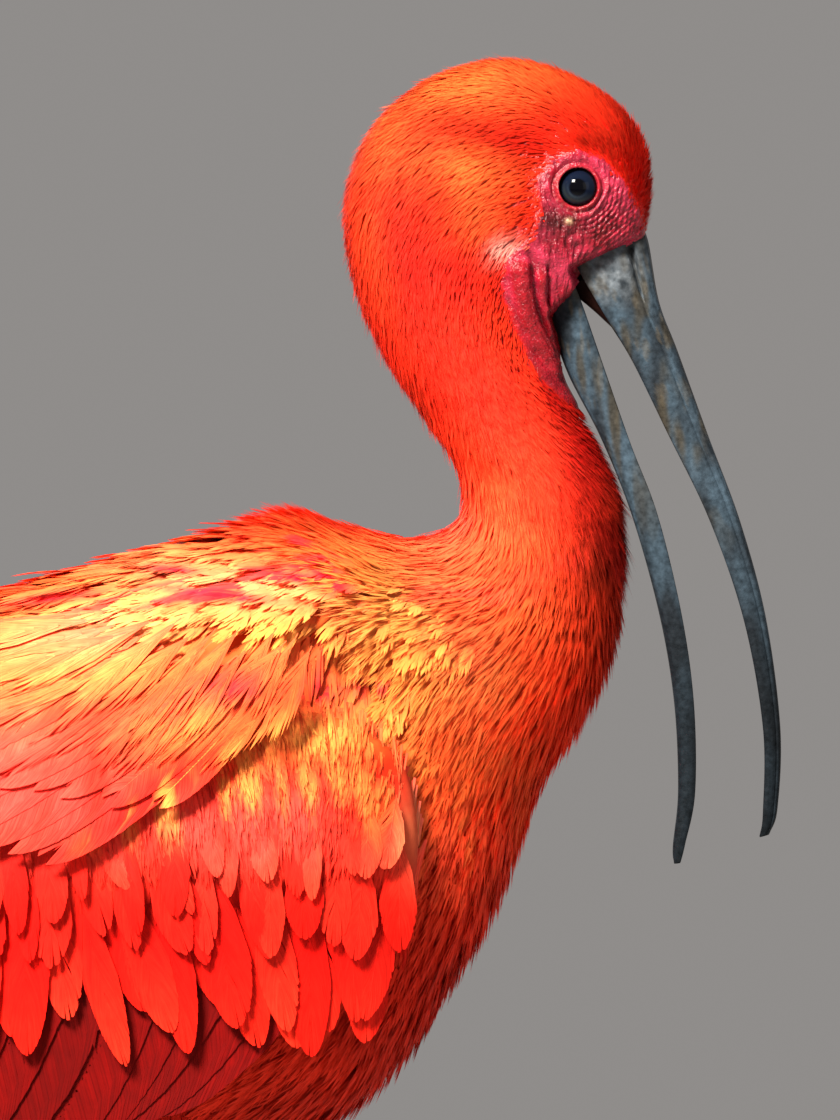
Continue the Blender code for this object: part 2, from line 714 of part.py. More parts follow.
def leg(side_name, side, torso, finishes):
    """Feathered thigh, bare shank, tarsus, foot and four claws of one leg."""
    y = STANCE_HALF_WIDTH
    knee = (FOOT_X + 8, y - 2, 172.0)
    cuff = (FOOT_X - 2, y, 128.0)
    ankle = (FOOT_X - ANKLE_BACK, y, TARSUS_TOP)
    heel = (FOOT_X - 1, y, TARSUS_FOOT)

    def between(a, b, f):
        return tuple(p + (q - p) * f for p, q in zip(a, b))

    hip = (FOOT_X + 12, y - 11, 205.0)
    thigh_path = [hip, between(hip, knee, 0.5)] + [between(knee, cuff, f) for f in (0, 0.3, 0.6, 0.85, 1)]
    thigh = tube("thigh_" + side_name, thigh_path, (15, 18, 17, 13, 9, 6.2, 4.6), 14,
                 finishes["coat"], side)
    clear_of(thigh, [torso])
    shank = tube("shank_" + side_name,
                 [between(cuff, ankle, f) for f in (0.012, 0.2, 0.55, 0.8, 0.93, 0.99)],
                 (3.3, 3.2, 3.2, 3.9, 4.6, 4.4), 12, finishes["leg"], side)
    tarsus = tube("tarsus_" + side_name,
                  [between(ankle, heel, f) for f in (0.0, 0.04, 0.1, 0.2, 0.5, 0.85, 0.96, 1.02)],
                  (4.0, 4.6, 4.2, 3.1, 2.8, 3.0, 3.6, 3.6), 12, finishes["leg"], side)
    clear_of(tarsus, [shank])
    foot, claws = foot_of(side_name, side, heel, finishes)
    clear_of(tarsus, [foot])
    return [thigh, shank, tarsus, foot, *claws]


# Toes: name, turn outwards in degrees, length to the claw, root radius
TOES = (("inner", -24.0, 36.0, 2.9), ("middle", 0.0, 48.0, 3.1), ("outer", 30.0, 40.0, 2.9),
        ("hind", 172.0, 19.0, 2.5))


def foot_of(side_name, side, heel, finishes):
    ankle_block = tube("foot_" + side_name, [(heel[0], heel[1], z) for z in (0.0, 2.5, 5.0, 7.0)],
                       (4.4, 4.6, 4.2, 3.8), 12, finishes["leg"], side, TOE_FLAT)
    pieces, claws = [], []
    for name, turn, length, radius in TOES:
        a = math.radians(turn)
        ahead = np.array((math.cos(a), math.sin(a), 0.0))
        path, radii = [], []
        for i in range(8):
            f = i / 7
            pad = 1 + 0.1 * math.sin(f * 3.0 * 2 * math.pi)
            r = radius * (1 - 0.38 * f) * pad
            path.append(np.array((heel[0], heel[1], 0.0)) + ahead * length * f + np.array((0, 0, r * 0.8)))
            radii.append(r)
        pieces.append(tube("toe_" + name, path, radii, 8, None, side, TOE_FLAT))
        tip = np.array((heel[0], heel[1], 0.0)) + ahead * (length + 0.35)
        claw_path = [tip + ahead * d + np.array((0, 0, h)) for d, h in
                     ((0, 1.7), (2.5, 2.3), (5.5, 1.9), (8.5, 0.75))]
        claws.append(tube(f"claw_{side_name}_{name}", claw_path, (1.55, 1.35, 0.95, 0.4), 6,
                          finishes["claw"], side, 0.15))
    for turn in (-15.0, 15.0):
        pieces.append(web(heel, turn, side))
    fuse(ankle_block, pieces)
    for claw in claws:
        clear_of(claw, [ankle_block])
    return ankle_block, claws


def web(heel, turn, side):
    """The small skin web between two front toes."""
    reach, thick = 17.0, 1.1
    left, right = math.radians(turn - 15), math.radians(turn + 15)
    outline = [(0.0, 0.0), (math.cos(left) * reach, math.sin(left) * reach),
               (math.cos((left + right) / 2) * reach * 0.72, math.sin((left + right) / 2) * reach * 0.72),
               (math.cos(right) * reach, math.sin(right) * reach)]
    low, high = 0.6, 0.6 + thick
    points = [(heel[0] + x, heel[1] + y, z) for z in (low, high) for x, y in outline]
    faces = [(0, 1, 2, 3), (7, 6, 5, 4), (0, 4, 5, 1), (1, 5, 6, 2), (2, 6, 7, 3), (3, 7, 4, 0)]
    return mesh_object("web", points, faces, None, side)


def build():
    for obj in list(bpy.data.objects):
        bpy.data.objects.remove(obj)
    coat = material("scarlet_coat", SCARLET, 0.6)
    plume = material("scarlet_vanes", ORANGE_SCARLET, 0.5)
    skin = material("bare_skin", BARE_SKIN, 0.5)
    slate = material("bill_slate", BILL_SLATE, 0.35)
    dark = material("eye_dark", EYE_DARK, 0.05)
    pink = material("leg_pink", LEG_PINK, 0.5)
    horn = material("claw_grey", CLAW_GREY, 0.4)
    finishes = {"coat": coat, "leg": pink, "claw": horn}

    head = body_loft("head", CHIN_STATION, HEAD_END - 0.012, 23, 20, coat)
    fuse(head, [lid_ring(1), lid_ring(-1), throat_fold(1), throat_fold(-1)])
    eyes = [eye("eye_left", 1, dark), eye("eye_right", -1, dark)]
    clear_of(head, eyes)
    neck_upper = body_loft("neck_upper", HEAD_END + 0.012, NECK_MIDDLE - 0.012, 7, 20, coat)
    clear_of(neck_upper, [head])
    body_loft("neck_lower", NECK_MIDDLE + 0.012, NECK_END - 0.012, 8, 20, coat)
    torso = body_loft("torso", NECK_END + 0.012, RUMP_END, 17, 22, coat)
    upper = bill_half("bill_upper", UPPER_BILL, UPPER_SECTION, slate, True)
    lower = bill_half("bill_lower", LOWER_BILL, LOWER_SECTION, slate, False)
    clear_of(upper, [head])
    clear_of(lower, [head])
    for side_name, side in (("left", 1), ("right", -1)):
        wing("wing_" + side_name, side, torso, plume)
        scapulars("scapulars_" + side_name, side, torso, plume)
        leg(side_name, side, torso, finishes)
    tail("tail", torso, plume)
    for obj in bpy.data.objects:
        obj.data.shade_smooth()
        obj.data.set_sharp_from_angle(angle=math.radians(40))


build()
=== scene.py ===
"""Scarlet ibis, life size, standing still: skin, feathers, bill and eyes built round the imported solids.

Lengths here are in millimetres, in the frame of the solids, and MM turns them to metres in each mesh.
The bird faces +X, its left side is +Y and up is +Z.
"""

import math

import bmesh
import bpy
import numpy as np
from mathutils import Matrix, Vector


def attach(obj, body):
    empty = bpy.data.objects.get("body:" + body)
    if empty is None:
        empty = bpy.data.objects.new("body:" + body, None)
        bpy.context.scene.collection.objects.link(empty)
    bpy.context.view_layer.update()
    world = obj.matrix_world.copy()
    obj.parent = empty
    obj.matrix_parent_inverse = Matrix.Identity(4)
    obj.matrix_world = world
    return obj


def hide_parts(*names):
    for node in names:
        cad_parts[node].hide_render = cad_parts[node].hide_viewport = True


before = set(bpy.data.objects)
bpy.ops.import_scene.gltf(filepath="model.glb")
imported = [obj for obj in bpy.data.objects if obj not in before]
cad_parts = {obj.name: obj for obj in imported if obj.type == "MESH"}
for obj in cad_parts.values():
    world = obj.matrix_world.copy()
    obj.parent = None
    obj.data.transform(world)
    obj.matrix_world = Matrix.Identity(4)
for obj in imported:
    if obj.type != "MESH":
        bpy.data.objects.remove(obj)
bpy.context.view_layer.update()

MM = 0.001

# Colours as linear red, green, blue
SCARLET = np.array((0.88, 0.022, 0.008))
HEAD_SCARLET = np.array((0.61, 0.013, 0.005))
# Dark red that stands for shade: painted shade on the neck's front, the belly and beside the throat fold
PAINTED_SHADE_RED = np.array((0.34, 0.002, 0.002))
# Gold and straw: pale feathers of the back and upper wing, brightened towards yellow as painted sunlight
GOLD = np.array((0.95, 0.40, 0.07))
STRAW = np.array((0.98, 0.60, 0.24))
ORANGE = np.array((0.98, 0.22, 0.04))
CORAL = np.array((0.95, 0.088, 0.060))
# Deep red: the plumage's own colour in places, and painted shade in others
DEEP_SCARLET_AND_SHADE = np.array((0.76, 0.008, 0.004))
GAP_PINK = np.array((0.72, 0.012, 0.035))
PALE_PINK = np.array((0.72, 0.34, 0.27))
FACE_PINK = np.array((0.30, 0.005, 0.019))
FACE_LIGHT = np.array((0.50, 0.028, 0.070))
FACE_DARK = np.array((0.07, 0.002, 0.004))
FOLD_CRIMSON = np.array((0.31, 0.004, 0.010))
WING_BLACK = np.array((0.02, 0.015, 0.02))
BILL_SLATE = np.array((0.018, 0.023, 0.029))
BILL_BLUE = np.array((0.042, 0.064, 0.086))
BILL_BROWN = np.array((0.042, 0.034, 0.022))
BILL_TAN = np.array((0.10, 0.078, 0.048))
BILL_SILVER = np.array((0.21, 0.235, 0.26))

# The flesh and its short coat, seen from the side. Each station joins a point of the nape and back
# to a point of the throat and belly: back x, back z, front x, front z, half width,
# place of the widest point from back to front, and how much the front side narrows.
STATIONS = np.array((
    (143.8, 400.5, 126.8, 392.0, 8.5, 0.55, 0.0),
    (145.5, 412.5, 121.5, 382.0, 12.0, 0.50, 0.2),
    (143.6, 425.0, 120.5, 376.3, 14.4, 0.45, 0.35),
    (136.0, 435.3, 121.5, 372.0, 16.2, 0.42, 0.4),
    (122.5, 442.9, 122.5, 369.5, 17.5, 0.42, 0.4),
    (107.5, 445.6, 123.0, 367.5, 18.3, 0.45, 0.35),
    (90.0, 440.8, 123.6, 365.8, 18.8, 0.48, 0.3),
    (75.5, 428.5, 124.4, 363.8, 18.6, 0.50, 0.25),
    (68.4, 410.5, 126.2, 360.5, 18.0, 0.50, 0.15),
    (70.0, 391.0, 128.8, 356.0, 17.4, 0.50, 0.05),
    (76.5, 373.5, 132.2, 350.0, 17.2, 0.50, 0.0),
    (86.5, 357.0, 135.8, 342.5, 17.4, 0.50, 0.0),
    (94.5, 344.5, 138.4, 333.5, 17.8, 0.50, 0.0),
    (96.0, 333.5, 139.6, 318.5, 19.5, 0.50, 0.0),
    (88.5, 328.3, 137.0, 300.0, 24.0, 0.48, 0.05),
    (76.0, 328.8, 130.5, 283.0, 30.5, 0.45, 0.1),
    (58.0, 332.0, 120.0, 264.5, 38.5, 0.45, 0.1),
    (33.0, 327.8, 105.5, 230.0, 45.0, 0.45, 0.08),
    (4.0, 320.3, 81.0, 192.0, 47.5, 0.45, 0.05),
    (-24.0, 312.5, 47.0, 170.0, 47.0, 0.46, 0.0),
    (-50.0, 304.7, 9.0, 162.0, 44.0, 0.48, 0.0),
    (-76.0, 295.2, -29.0, 165.5, 38.0, 0.48, 0.0),
    (-98.0, 285.0, -64.0, 182.5, 30.0, 0.50, 0.0),
    (-113.0, 276.5, -88.0, 204.0, 22.5, 0.50, 0.0),
    (-124.0, 269.5, -103.0, 222.0, 17.0, 0.50, 0.0),
))
HEAD_END = 8.6
NECK_END = 14.2
RUMP_END = len(STATIONS) - 1.0
RING_POWER = 2.15
# Small step by which slopes are measured
PROBE = 0.03
# Edge left free on each unwrapped map, and the size of the rest
MAP_EDGE, MAP_SIZE = 0.02, 0.96

# Gentle lumps of the face: x, z, radius, height
FACE_RELIEF = (
    (126.5, 423.5, 5.5, 1.3),
    (136.5, 405.0, 6.0, -1.6),
    (126.8, 412.8, 4.5, -1.2),
    (131.0, 396.5, 5.0, -1.0),
    (112.0, 405.0, 9.0, 1.0),
)

EYE_PLACE = np.array((126.8, 412.8))
EYE_RADIUS = 6.2
EYE_OPENING_RADIUS = 4.75

# Edge of the bare face, seen from the side
FACE_EDGE = np.array((
    (150.0, 399.0), (144.2, 401.0), (142.0, 408.0), (138.5, 414.5), (133.0, 420.3), (126.6, 422.3),
    (120.0, 420.0), (116.6, 414.5), (117.4, 407.0), (115.6, 400.2), (109.6, 396.2), (107.6, 389.0),
    (111.0, 378.5), (117.0, 366.5), (122.5, 361.0), (128.0, 358.0), (140.0, 360.0), (150.0, 380.0),
))


def catmull(points, t):
    """The smooth curve through the points, read at each t, which counts whole points."""
    points = np.asarray(points, float)
    t = np.clip(np.atleast_1d(np.asarray(t, float)), 0.0, len(points) - 1.0)
    i = np.minimum(t.astype(int), len(points) - 2)
    f = (t - i)[:, None]
    ends = np.vstack((2 * points[0] - points[1], points, 2 * points[-1] - points[-2]))
    before, a, b, after = ends[i], ends[i + 1], ends[i + 2], ends[i + 3]
    return 0.5 * (
        2 * a + (b - before) * f + (2 * before - 5 * a + 4 * b - after) * f ** 2
        + (3 * a - before - 3 * b + after) * f ** 3
    )


def blend_step(low, high, value):
    f = np.clip((value - low) / (high - low), 0.0, 1.0)
    return f * f * (3 - 2 * f)


def unit(vectors):
    return vectors / np.maximum(np.linalg.norm(vectors, axis=-1, keepdims=True), 1e-9)


def face_relief(x, z):
    """How far the face stands out from the plain oval head."""
    total = np.zeros_like(x)
    for cx, cz, radius, height in FACE_RELIEF:
        total += height * np.exp(-((x - cx) ** 2 + (z - cz) ** 2) / (2 * (0.6 * radius) ** 2))
    return total


def outer_surface(t, angle):
    """Points of the feathered body: angle 0 is the back, pi the front, and +Y lies between."""
    t, angle = np.asarray(t, float), np.asarray(angle, float)
    row = catmull(STATIONS, t)
    bx, bz, fx, fz, width, widest, narrow = row.T
    c, s = np.cos(angle), np.sin(angle)
    c = np.sign(c) * np.abs(c) ** (2 / RING_POWER)
    s = np.sign(s) * np.abs(s) ** (2 / RING_POWER)
    share = widest - c * np.where(c > 0, widest, 1 - widest)
    x, z = bx + (fx - bx) * share, bz + (fz - bz) * share
    y = s * width * (1 - narrow * np.maximum(0.0, -c) ** 1.5)
    relief = face_relief(x, z) * np.minimum(1.0, np.abs(s)) * np.sign(s)
    y = y + np.where((t < HEAD_END) & (np.abs(s) > 0.2), relief, 0.0)
    return np.stack((x, y, z), axis=1)


def halfway(row):
    """The middle of each station, between its back and its front."""
    return np.stack(((row[:, 0] + row[:, 2]) / 2, 0 * row[:, 0], (row[:, 1] + row[:, 3]) / 2), axis=1)


def surface_frame(t, angle):
    """Point, outward normal and backward lie of the coat at each place."""
    point = outer_surface(t, angle)
    along = outer_surface(t + PROBE, angle) - outer_surface(t - PROBE, angle)
    around = outer_surface(t, angle + PROBE) - outer_surface(t, angle - PROBE)
    normal = unit(np.cross(along, around))
    outward = np.sign(np.sum(normal * (point - halfway(catmull(STATIONS, t))), axis=1, keepdims=True))
    return point, normal * np.where(outward == 0, 1, outward), unit(along)


def polygon_depth(x, z, corners):
    """Distance inside the outline, negative outside it."""
    inside = np.zeros(x.shape, bool)
    nearest = np.full(x.shape, 1e9)
    for (ax, az), (bx, bz) in zip(corners, np.roll(corners, -1, axis=0)):
        crosses = (az > z) != (bz > z)
        with np.errstate(divide="ignore", invalid="ignore"):
            at = (bx - ax) * (z - az) / (bz - az) + ax
        inside ^= crosses & (x < at)
        dx, dz = bx - ax, bz - az
        f = np.clip(((x - ax) * dx + (z - az) * dz) / (dx * dx + dz * dz), 0, 1)
        nearest = np.minimum(nearest, np.hypot(x - ax - f * dx, z - az - f * dz))
    return np.where(inside, nearest, -nearest)


def bare_depth(points):
    return polygon_depth(points[:, 0], points[:, 2], FACE_EDGE)


def coat_depth(t, points):
    """How thick the feather coat is, none on the bare face."""
    depth = np.interp(t, (0, 2, 6, 9, 12, 14, 17, 20, 24), (0.8, 1.2, 1.6, 1.9, 2.4, 3.6, 4.8, 4.8, 3.5))
    return depth * (1 - blend_step(-2.5, 1.0, bare_depth(points)))


# Gentle lumps and hollows of colour and height, the same in every part of the coat
WAVES = np.random.default_rng(11).normal(size=(7, 3))
WAVE_PHASES = np.random.default_rng(12).uniform(0, 2 * math.pi, 7)


def ripple(points, size):
    """Smooth chance variation from -1 to 1 with lumps of about this size."""
    total = np.zeros(len(points))
    for wave, phase in zip(WAVES, WAVE_PHASES):
        total += np.sin(points @ wave * (2.2 / size) + phase)
    return total / 4.0


def mix(a, b, f):
    f = np.asarray(f)[:, None] if np.ndim(f) else f
    return a * (1 - f) + b * f


def spot(points, x, z, wide, high, tilt=0.0):
    """A soft oval patch of the side view, 1 at its middle."""
    c, s = math.cos(math.radians(tilt)), math.sin(math.radians(tilt))
    dx, dz = points[:, 0] - x, points[:, 2] - z
    return np.exp(-((dx * c + dz * s) / wide) ** 2 - ((dz * c - dx * s) / high) ** 2)


def streaks(points, along, across, tilt):
    """Chance variation drawn out along the lie of the feathers, from -1 to 1."""
    c, q = math.cos(math.radians(tilt)), math.sin(math.radians(tilt))
    x, y, z = points.T
    return ripple(np.stack(((x * c + z * q) / along, np.abs(y) / (2.0 * across), (z * c - x * q) / across),
                           axis=1), 1.4)


# Lower border of the shoulder feathers over the wing: z at x 0, and rise with x
SHOULDER_BORDER = (249, 0.69)
# Soft patches of the plumage: colour, x, z, half length, half height, tilt, strength. Some are painted shade
# and some painted highlight
PATCHES = (
    (ORANGE, 100, 300, 20, 40, 0, 0.55),
    (CORAL, 98, 316, 12, 26, 20, 0.65),
    (CORAL, 30, 255, 58, 12, 0, 0.75),
    (CORAL, -20, 272, 40, 20, 25, 0.9),
    # Gold and straw of the mantle, shoulder and upper wing: pale feathers, and also painted sunlight on the
    # lit back
    (GOLD, 50, 304, 46, 19, 0, 0.95),
    (GOLD, 84, 300, 13, 20, 0, 0.75),
    (GOLD, -2, 301, 40, 14, 14, 0.85),
    (STRAW, 8, 303, 34, 7, 12, 0.5),
    (STRAW, 44, 314, 30, 6, -8, 0.5),
    (GOLD, 56, 277, 32, 7, 0, 0.9),
    (STRAW, 86, 256, 4, 12, 0, 0.7),
    # Deeper, more saturated red over the wing's lower part, partly painted shade; then a painted shadow line
    # under the shoulder feathers' border
    (DEEP_SCARLET_AND_SHADE, 20, 224, 95, 15, 0, 0.9),
    (DEEP_SCARLET_AND_SHADE, 26, 265, 42, 4.5, 34, 0.8),
    (SCARLET, 74, 258, 9, 12, 10, 0.7),
    # Painted shade: darker red down the neck's front, over the lower breast and over the belly, where shade
    # falls
    (PAINTED_SHADE_RED * 0.5, 134, 334, 11, 28, 8, 1.2),
    (PAINTED_SHADE_RED, 96, 216, 26, 22, 45, 0.5),
    (PAINTED_SHADE_RED, 70, 174, 70, 20, 20, 0.8),
    (PAINTED_SHADE_RED, 129, 348, 8, 16, 0, 0.9),
    # Painted highlight: lighter orange behind the eye, in this patch and the one at x 104, z 408
    (ORANGE, 100, 420, 11, 6, -12, 0.5),
    (ORANGE, 82, 426, 8, 10, 0, 0.3),
    (ORANGE, 104, 408, 8, 8, 0, 0.3),
    (DEEP_SCARLET_AND_SHADE, 96, 380, 7, 26, 0, 0.6),
    # Painted shadow of the crease that runs back from the eye
    (DEEP_SCARLET_AND_SHADE * 0.6, 112, 425.5, 12, 2.8, -28, 0.75),
    (ORANGE, 74, 405, 5, 26, 5, 0.1),
    (ORANGE, 108, 441, 22, 7, 0, 0.7),
    # Painted shadow: thin dark lines beside the throat fold
    (PAINTED_SHADE_RED, 110.8, 383, 1.5, 10, 21, 0.9),
    (PAINTED_SHADE_RED, 119.5, 364, 2.0, 7, 30, 0.8),
    (GAP_PINK * 1.2, 63, 318, 14, 3.0, -48, 1.3),
    (GAP_PINK * 1.2, 57, 315.6, 8, 1.5, -13, 1.2),
    (GAP_PINK * 1.2, 38, 311.3, 14, 1.4, -7, 1.2),
    (GAP_PINK * 1.2, -4, 310.4, 13, 1.4, 9, 1.2),
    (GAP_PINK * 1.2, 25.6, 317.6, 8, 1.4, -5, 1.0),
)


def plumage(points):
    """The colour that skin and feathers carry at each place, with painted shade and painted highlight laid
    into it.
    """
    x, z = points[:, 0], points[:, 2]
    colour = mix(np.tile(SCARLET, (len(points), 1)), HEAD_SCARLET, blend_step(330, 372, z))
    broken = 1.0 + 0.28 * ripple(points, 9.0) + 0.22 * streaks(points, 16.0, 3.0, 18.0)
    for tint, *place, strength in PATCHES:
        colour = mix(colour, tint, np.clip(strength * spot(points, *place) * broken, 0, 1))
    slit = spot(points, 40, 310, 60, 18, 6) * blend_step(0.45, 0.7, streaks(points + 40.0, 34.0, 2.8, 16.0))
    colour = mix(colour, GAP_PINK * 1.25, np.clip(slit, 0, 0.85))
    gap = spot(points, 70, 288, 18, 2.6, 2) + spot(points, 36, 288, 12, 4.0, 10)
    colour = mix(colour, GAP_PINK, np.clip(gap * (0.6 + 0.7 * ripple(points, 4.0)), 0, 0.9))
    arm = spot(points, 30, 262, 62, 17, 0)
    # Gold streaks on the upper wing: pale feathers, and also painted sunlight on the wing's lit top
    gilt = blend_step(0.1, 0.55, streaks(points, 9.0, 2.4, 100.0)) * blend_step(244, 258, z)
    gilt = gilt * blend_step(3, -3, z - SHOULDER_BORDER[0] - SHOULDER_BORDER[1] * x)
    colour = mix(colour, GOLD, np.clip(0.75 * arm * gilt, 0, 1))
    rosy = blend_step(0.25, 0.6, streaks(points - 30.0, 8.0, 2.2, 98.0))
    colour = mix(colour, SCARLET, np.clip(0.8 * arm * rosy, 0, 1))
    colour = mix(colour, SCARLET, 0.85 * blend_step(-30, -85, x))
    return mix(colour, PALE_PINK, 0.9 * np.clip(1.3 * spot(points, 110.0, 398.3, 3.6, 3.0), 0, 1))


def linked(name, data):
    """A new object in the scene, at the origin."""
    obj = bpy.data.objects.new(name, data)
    bpy.context.scene.collection.objects.link(obj)
    return obj


def paint(obj, colours, **marks):
    """Stores a tint and further marks on the vertices."""
    filled = np.ones((len(colours), 4), np.float32)
    filled[:, :3] = np.clip(colours, 0, 1)
    attributes = obj.data.attributes
    attributes.new("tint", "FLOAT_COLOR", "POINT").data.foreach_set("color", filled.ravel())
    for key, values in marks.items():
        mark = attributes.new(key, "FLOAT", "POINT")
        mark.data.foreach_set("value", np.asarray(values, np.float32).ravel())


def joined_feathers(name, points, triangles, uv):
    """One mesh of many feathers, from arrays in millimetres."""
    mesh = bpy.data.meshes.new(name)
    count = len(triangles)
    mesh.vertices.add(len(points))
    mesh.vertices.foreach_set("co", (np.asarray(points, np.float32) * MM).ravel())
    mesh.loops.add(count * 3)
    mesh.loops.foreach_set("vertex_index", np.asarray(triangles, np.int32).ravel())
    mesh.polygons.add(count)
    mesh.polygons.foreach_set("loop_start", np.arange(0, count * 3, 3, dtype=np.int32))
    mesh.polygons.foreach_set("use_smooth", np.zeros(count, bool))
    corners = np.asarray(uv, np.float32)[triangles.ravel()]
    mesh.uv_layers.new(name="OFBake").data.foreach_set("uv", corners.ravel())
    mesh.update()
    return linked(name, mesh)


def ball(around, rings):
    """A sphere to be moved into a piece: its bmesh, and each vertex's share from pole to pole and angle."""
    bm = bmesh.new()
    bmesh.ops.create_uvsphere(bm, u_segments=around, v_segments=rings, radius=1.0)
    co = np.array([v.co for v in bm.verts])
    return bm, np.arccos(np.clip(co[:, 2], -1, 1)) / math.pi, np.arctan2(co[:, 1], co[:, 0])


def shaped(name, bm, points):
    """The sphere moved to points in millimetres, as a smooth object."""
    for vert, point in zip(bm.verts, points):
        vert.co = point * MM
    bm.normal_update()
    bmesh.ops.recalc_face_normals(bm, faces=bm.faces)
    mesh = bpy.data.meshes.new(name)
    bm.to_mesh(mesh)
    bm.free()
    mesh.polygons.foreach_set("use_smooth", np.ones(len(mesh.polygons), bool))
    return linked(name, mesh)


def moulded(name, around, rings, place):
    """A closed piece moved from a sphere: place takes the share from its first to its last pole, and the
    angle round it, and gives points in millimetres."""
    bm, down, angle = ball(around, rings)
    obj = shaped(name, bm, place(down, angle))
    turns = obj.data.attributes.new("turn", "FLOAT", "POINT")
    turns.data.foreach_set("value", (np.abs(angle) / math.pi).astype(np.float32))
    return obj


def own_points(obj):
    return np.array([v.co for v in obj.data.vertices]) / MM


def finish_flesh(obj, nodes):
    """Clad flesh under the large feathers: red, as deep in the plumage."""
    paint(obj, plumage(own_points(obj)) * UNDER_TINT)
    finish_piece(obj, under_finish, nodes)


def finish_piece(obj, finish, nodes):
    obj.data.materials.append(finish)
    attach(obj, "root")
    if nodes:
        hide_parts(*nodes)
    return obj


class Cut:
    """How a kind of feather is cut: barbs a side, slant, outline, and how far its barbs part. rings are the
    shares of a barb's length with a section of their own, fine is the most a barb is wide."""

    def __init__(self, barbs, slant=0.3, point=3.0, part=0.06, rings=(0.0, 0.55, 0.85), keep=0.8,
                 camber=0.05, thick=0.12, shaft=0.35, fluff=0.0, fine=9.0):
        self.barbs, self.slant, self.point, self.part = barbs, slant, point, part
        self.rings, self.keep, self.camber, self.thick = rings, keep, camber, thick
        self.shaft, self.fluff, self.fine = shaft, fluff, fine


def strand_faces(ring_count, strands):
    """Triangles of three-sided tapering strands, each closed at its root and its tip."""
    faces = [(0, 2, 1)]
    for r in range(ring_count - 1):
        for j in range(3):
            a, b = 3 * r + j, 3 * r + (j + 1) % 3
            faces += [(a, b, b + 3), (a, b + 3, a + 3)]
    last, tip = 3 * (ring_count - 1), 3 * ring_count
    faces += [(last + j, last + (j + 1) % 3, tip) for j in range(3)]
    size = 3 * ring_count + 1
    offsets = np.arange(strands)[:, None, None] * size
    return (np.array(faces)[None] + offsets).reshape(-1, 3), size


def feather_shapes(cut, lengths, widths, rng):
    """Local places of every vertex of many feathers: along, across, height, and marks for colour."""
    n, k = len(lengths), cut.barbs
    shape = (n, 2 * k)
    barb = np.tile(np.arange(k), 2)[None, :]
    side = np.repeat((-1.0, 1.0), k)[None, :]
    length, half = lengths[:, None], widths[:, None] / 2

    def change(values):
        """How much a value changes from each barb to the next one on its side."""
        return np.gradient(values.reshape(n, 2, k), axis=2).reshape(shape)
    start = 0.03 + 0.86 * (barb / k) ** 0.92 + rng.uniform(-0.2, 0.2, shape) * 0.8 / k
    start = np.clip(start, 0.0, 0.95)
    end = start + cut.slant * (1 - 0.72 * start) * (1 + cut.part * rng.normal(size=shape))
    end = np.clip(end, 0.02, 1.0)
    wide = end ** 0.4 * np.clip(1 - end ** cut.point, 0.0, 1.0) ** 0.55
    reach = side * half * wide * (1 + cut.part * rng.normal(size=shape))
    reach = reach * np.where(rng.uniform(size=shape) < 0.01 + 0.4 * cut.part, 0.72, 1.0)
    gap = 0.86 / k * length
    run = (end - start) * length
    slope = np.arctan(np.abs(reach) / np.maximum(run, 1e-3))
    half_barb = np.minimum(0.875 * gap * np.clip(np.sin(slope), 0.18, 1.0), cut.fine)
    narrowing = np.abs(change(half * wide)) if k > 1 else 0.0
    half_tip = 0.65 * (narrowing * np.cos(slope) + gap * np.sin(slope))
    half_tip = np.clip(half_tip, half_barb * 0.7, np.minimum(half_barb * 2.2, cut.fine))
    lift = cut.fluff * rng.uniform(-0.3, 1.0, shape) * length
    closed = len(cut.rings) > 2
    along, across, height = [], [], []
    for q in (*cut.rings, 1.0):
        a = (start + (end - start) * q ** 1.12) * length
        b = reach * (1 - (1 - q) ** 1.55)
        h = -cut.camber * np.abs(b) / np.maximum(half, 0.1) * half + lift * q ** 2
        turn = reach * 1.55 * max(1 - q, 0.12) ** 0.55
        size = np.hypot(run, turn)
        r = half_barb if q < 0.3 else half_tip * (1.0 - (1.0 - cut.keep) * (q - 0.3) / 0.7)
        step_a, step_b = -turn / size * r * side, run / size * r * side
        if closed and q == cut.rings[-1]:
            step_a, step_b = -0.6 * change(end * length), -0.6 * change(reach)
        for offset, drop in ((-1.0, 0.0), (1.0, 0.0), (0.0, cut.thick)) if q < 1.0 else ((0.0, 0.0),):
            along.append(a + step_a * offset)
            across.append(b + step_b * offset)
            height.append(h + 0.06 * r * offset - drop)
    along, across, height = (np.stack(values, axis=2) for values in (along, across, height))
    tone = np.repeat(rng.uniform(-1, 1, (n, 2 * k, 1)), along.shape[2], axis=2)
    strands = 2 * k
    if cut.shaft > 0:
        strands += 1
        shaft = shaft_strand(cut, lengths)
        along, across, height = (np.concatenate(pair, axis=1)
                                 for pair in zip((along, across, height), shaft))
        tone = np.concatenate((tone, np.full((n, 1, tone.shape[2]), 1.6)), axis=1)
    grain = np.tile(np.array([-1.0, 1.0, 0.0] * len(cut.rings) + [0.0]), (n, strands, 1))
    faces, size = strand_faces(len(cut.rings), strands)
    return [v.reshape(n, strands * size) for v in (along, across, height, tone, grain)] + [faces]


def shaft_strand(cut, lengths):
    """The feather's middle rib, as one more strand."""
    along, across, height = [], [], []
    for q in (*cut.rings, 1.0):
        for offset in ((0.0,) if q >= 1.0 else (-1.0, 1.0, 0.0)):
            along.append((-0.05 + 0.99 * q) * lengths)
            across.append(np.full(len(lengths), offset * cut.shaft * (1 - 0.8 * q)))
            height.append(np.full(len(lengths), 0.09 if offset == 0.0 and q < 1.0 else 0.03))
    return [np.stack(v, axis=1)[:, None, :] for v in (along, across, height)]


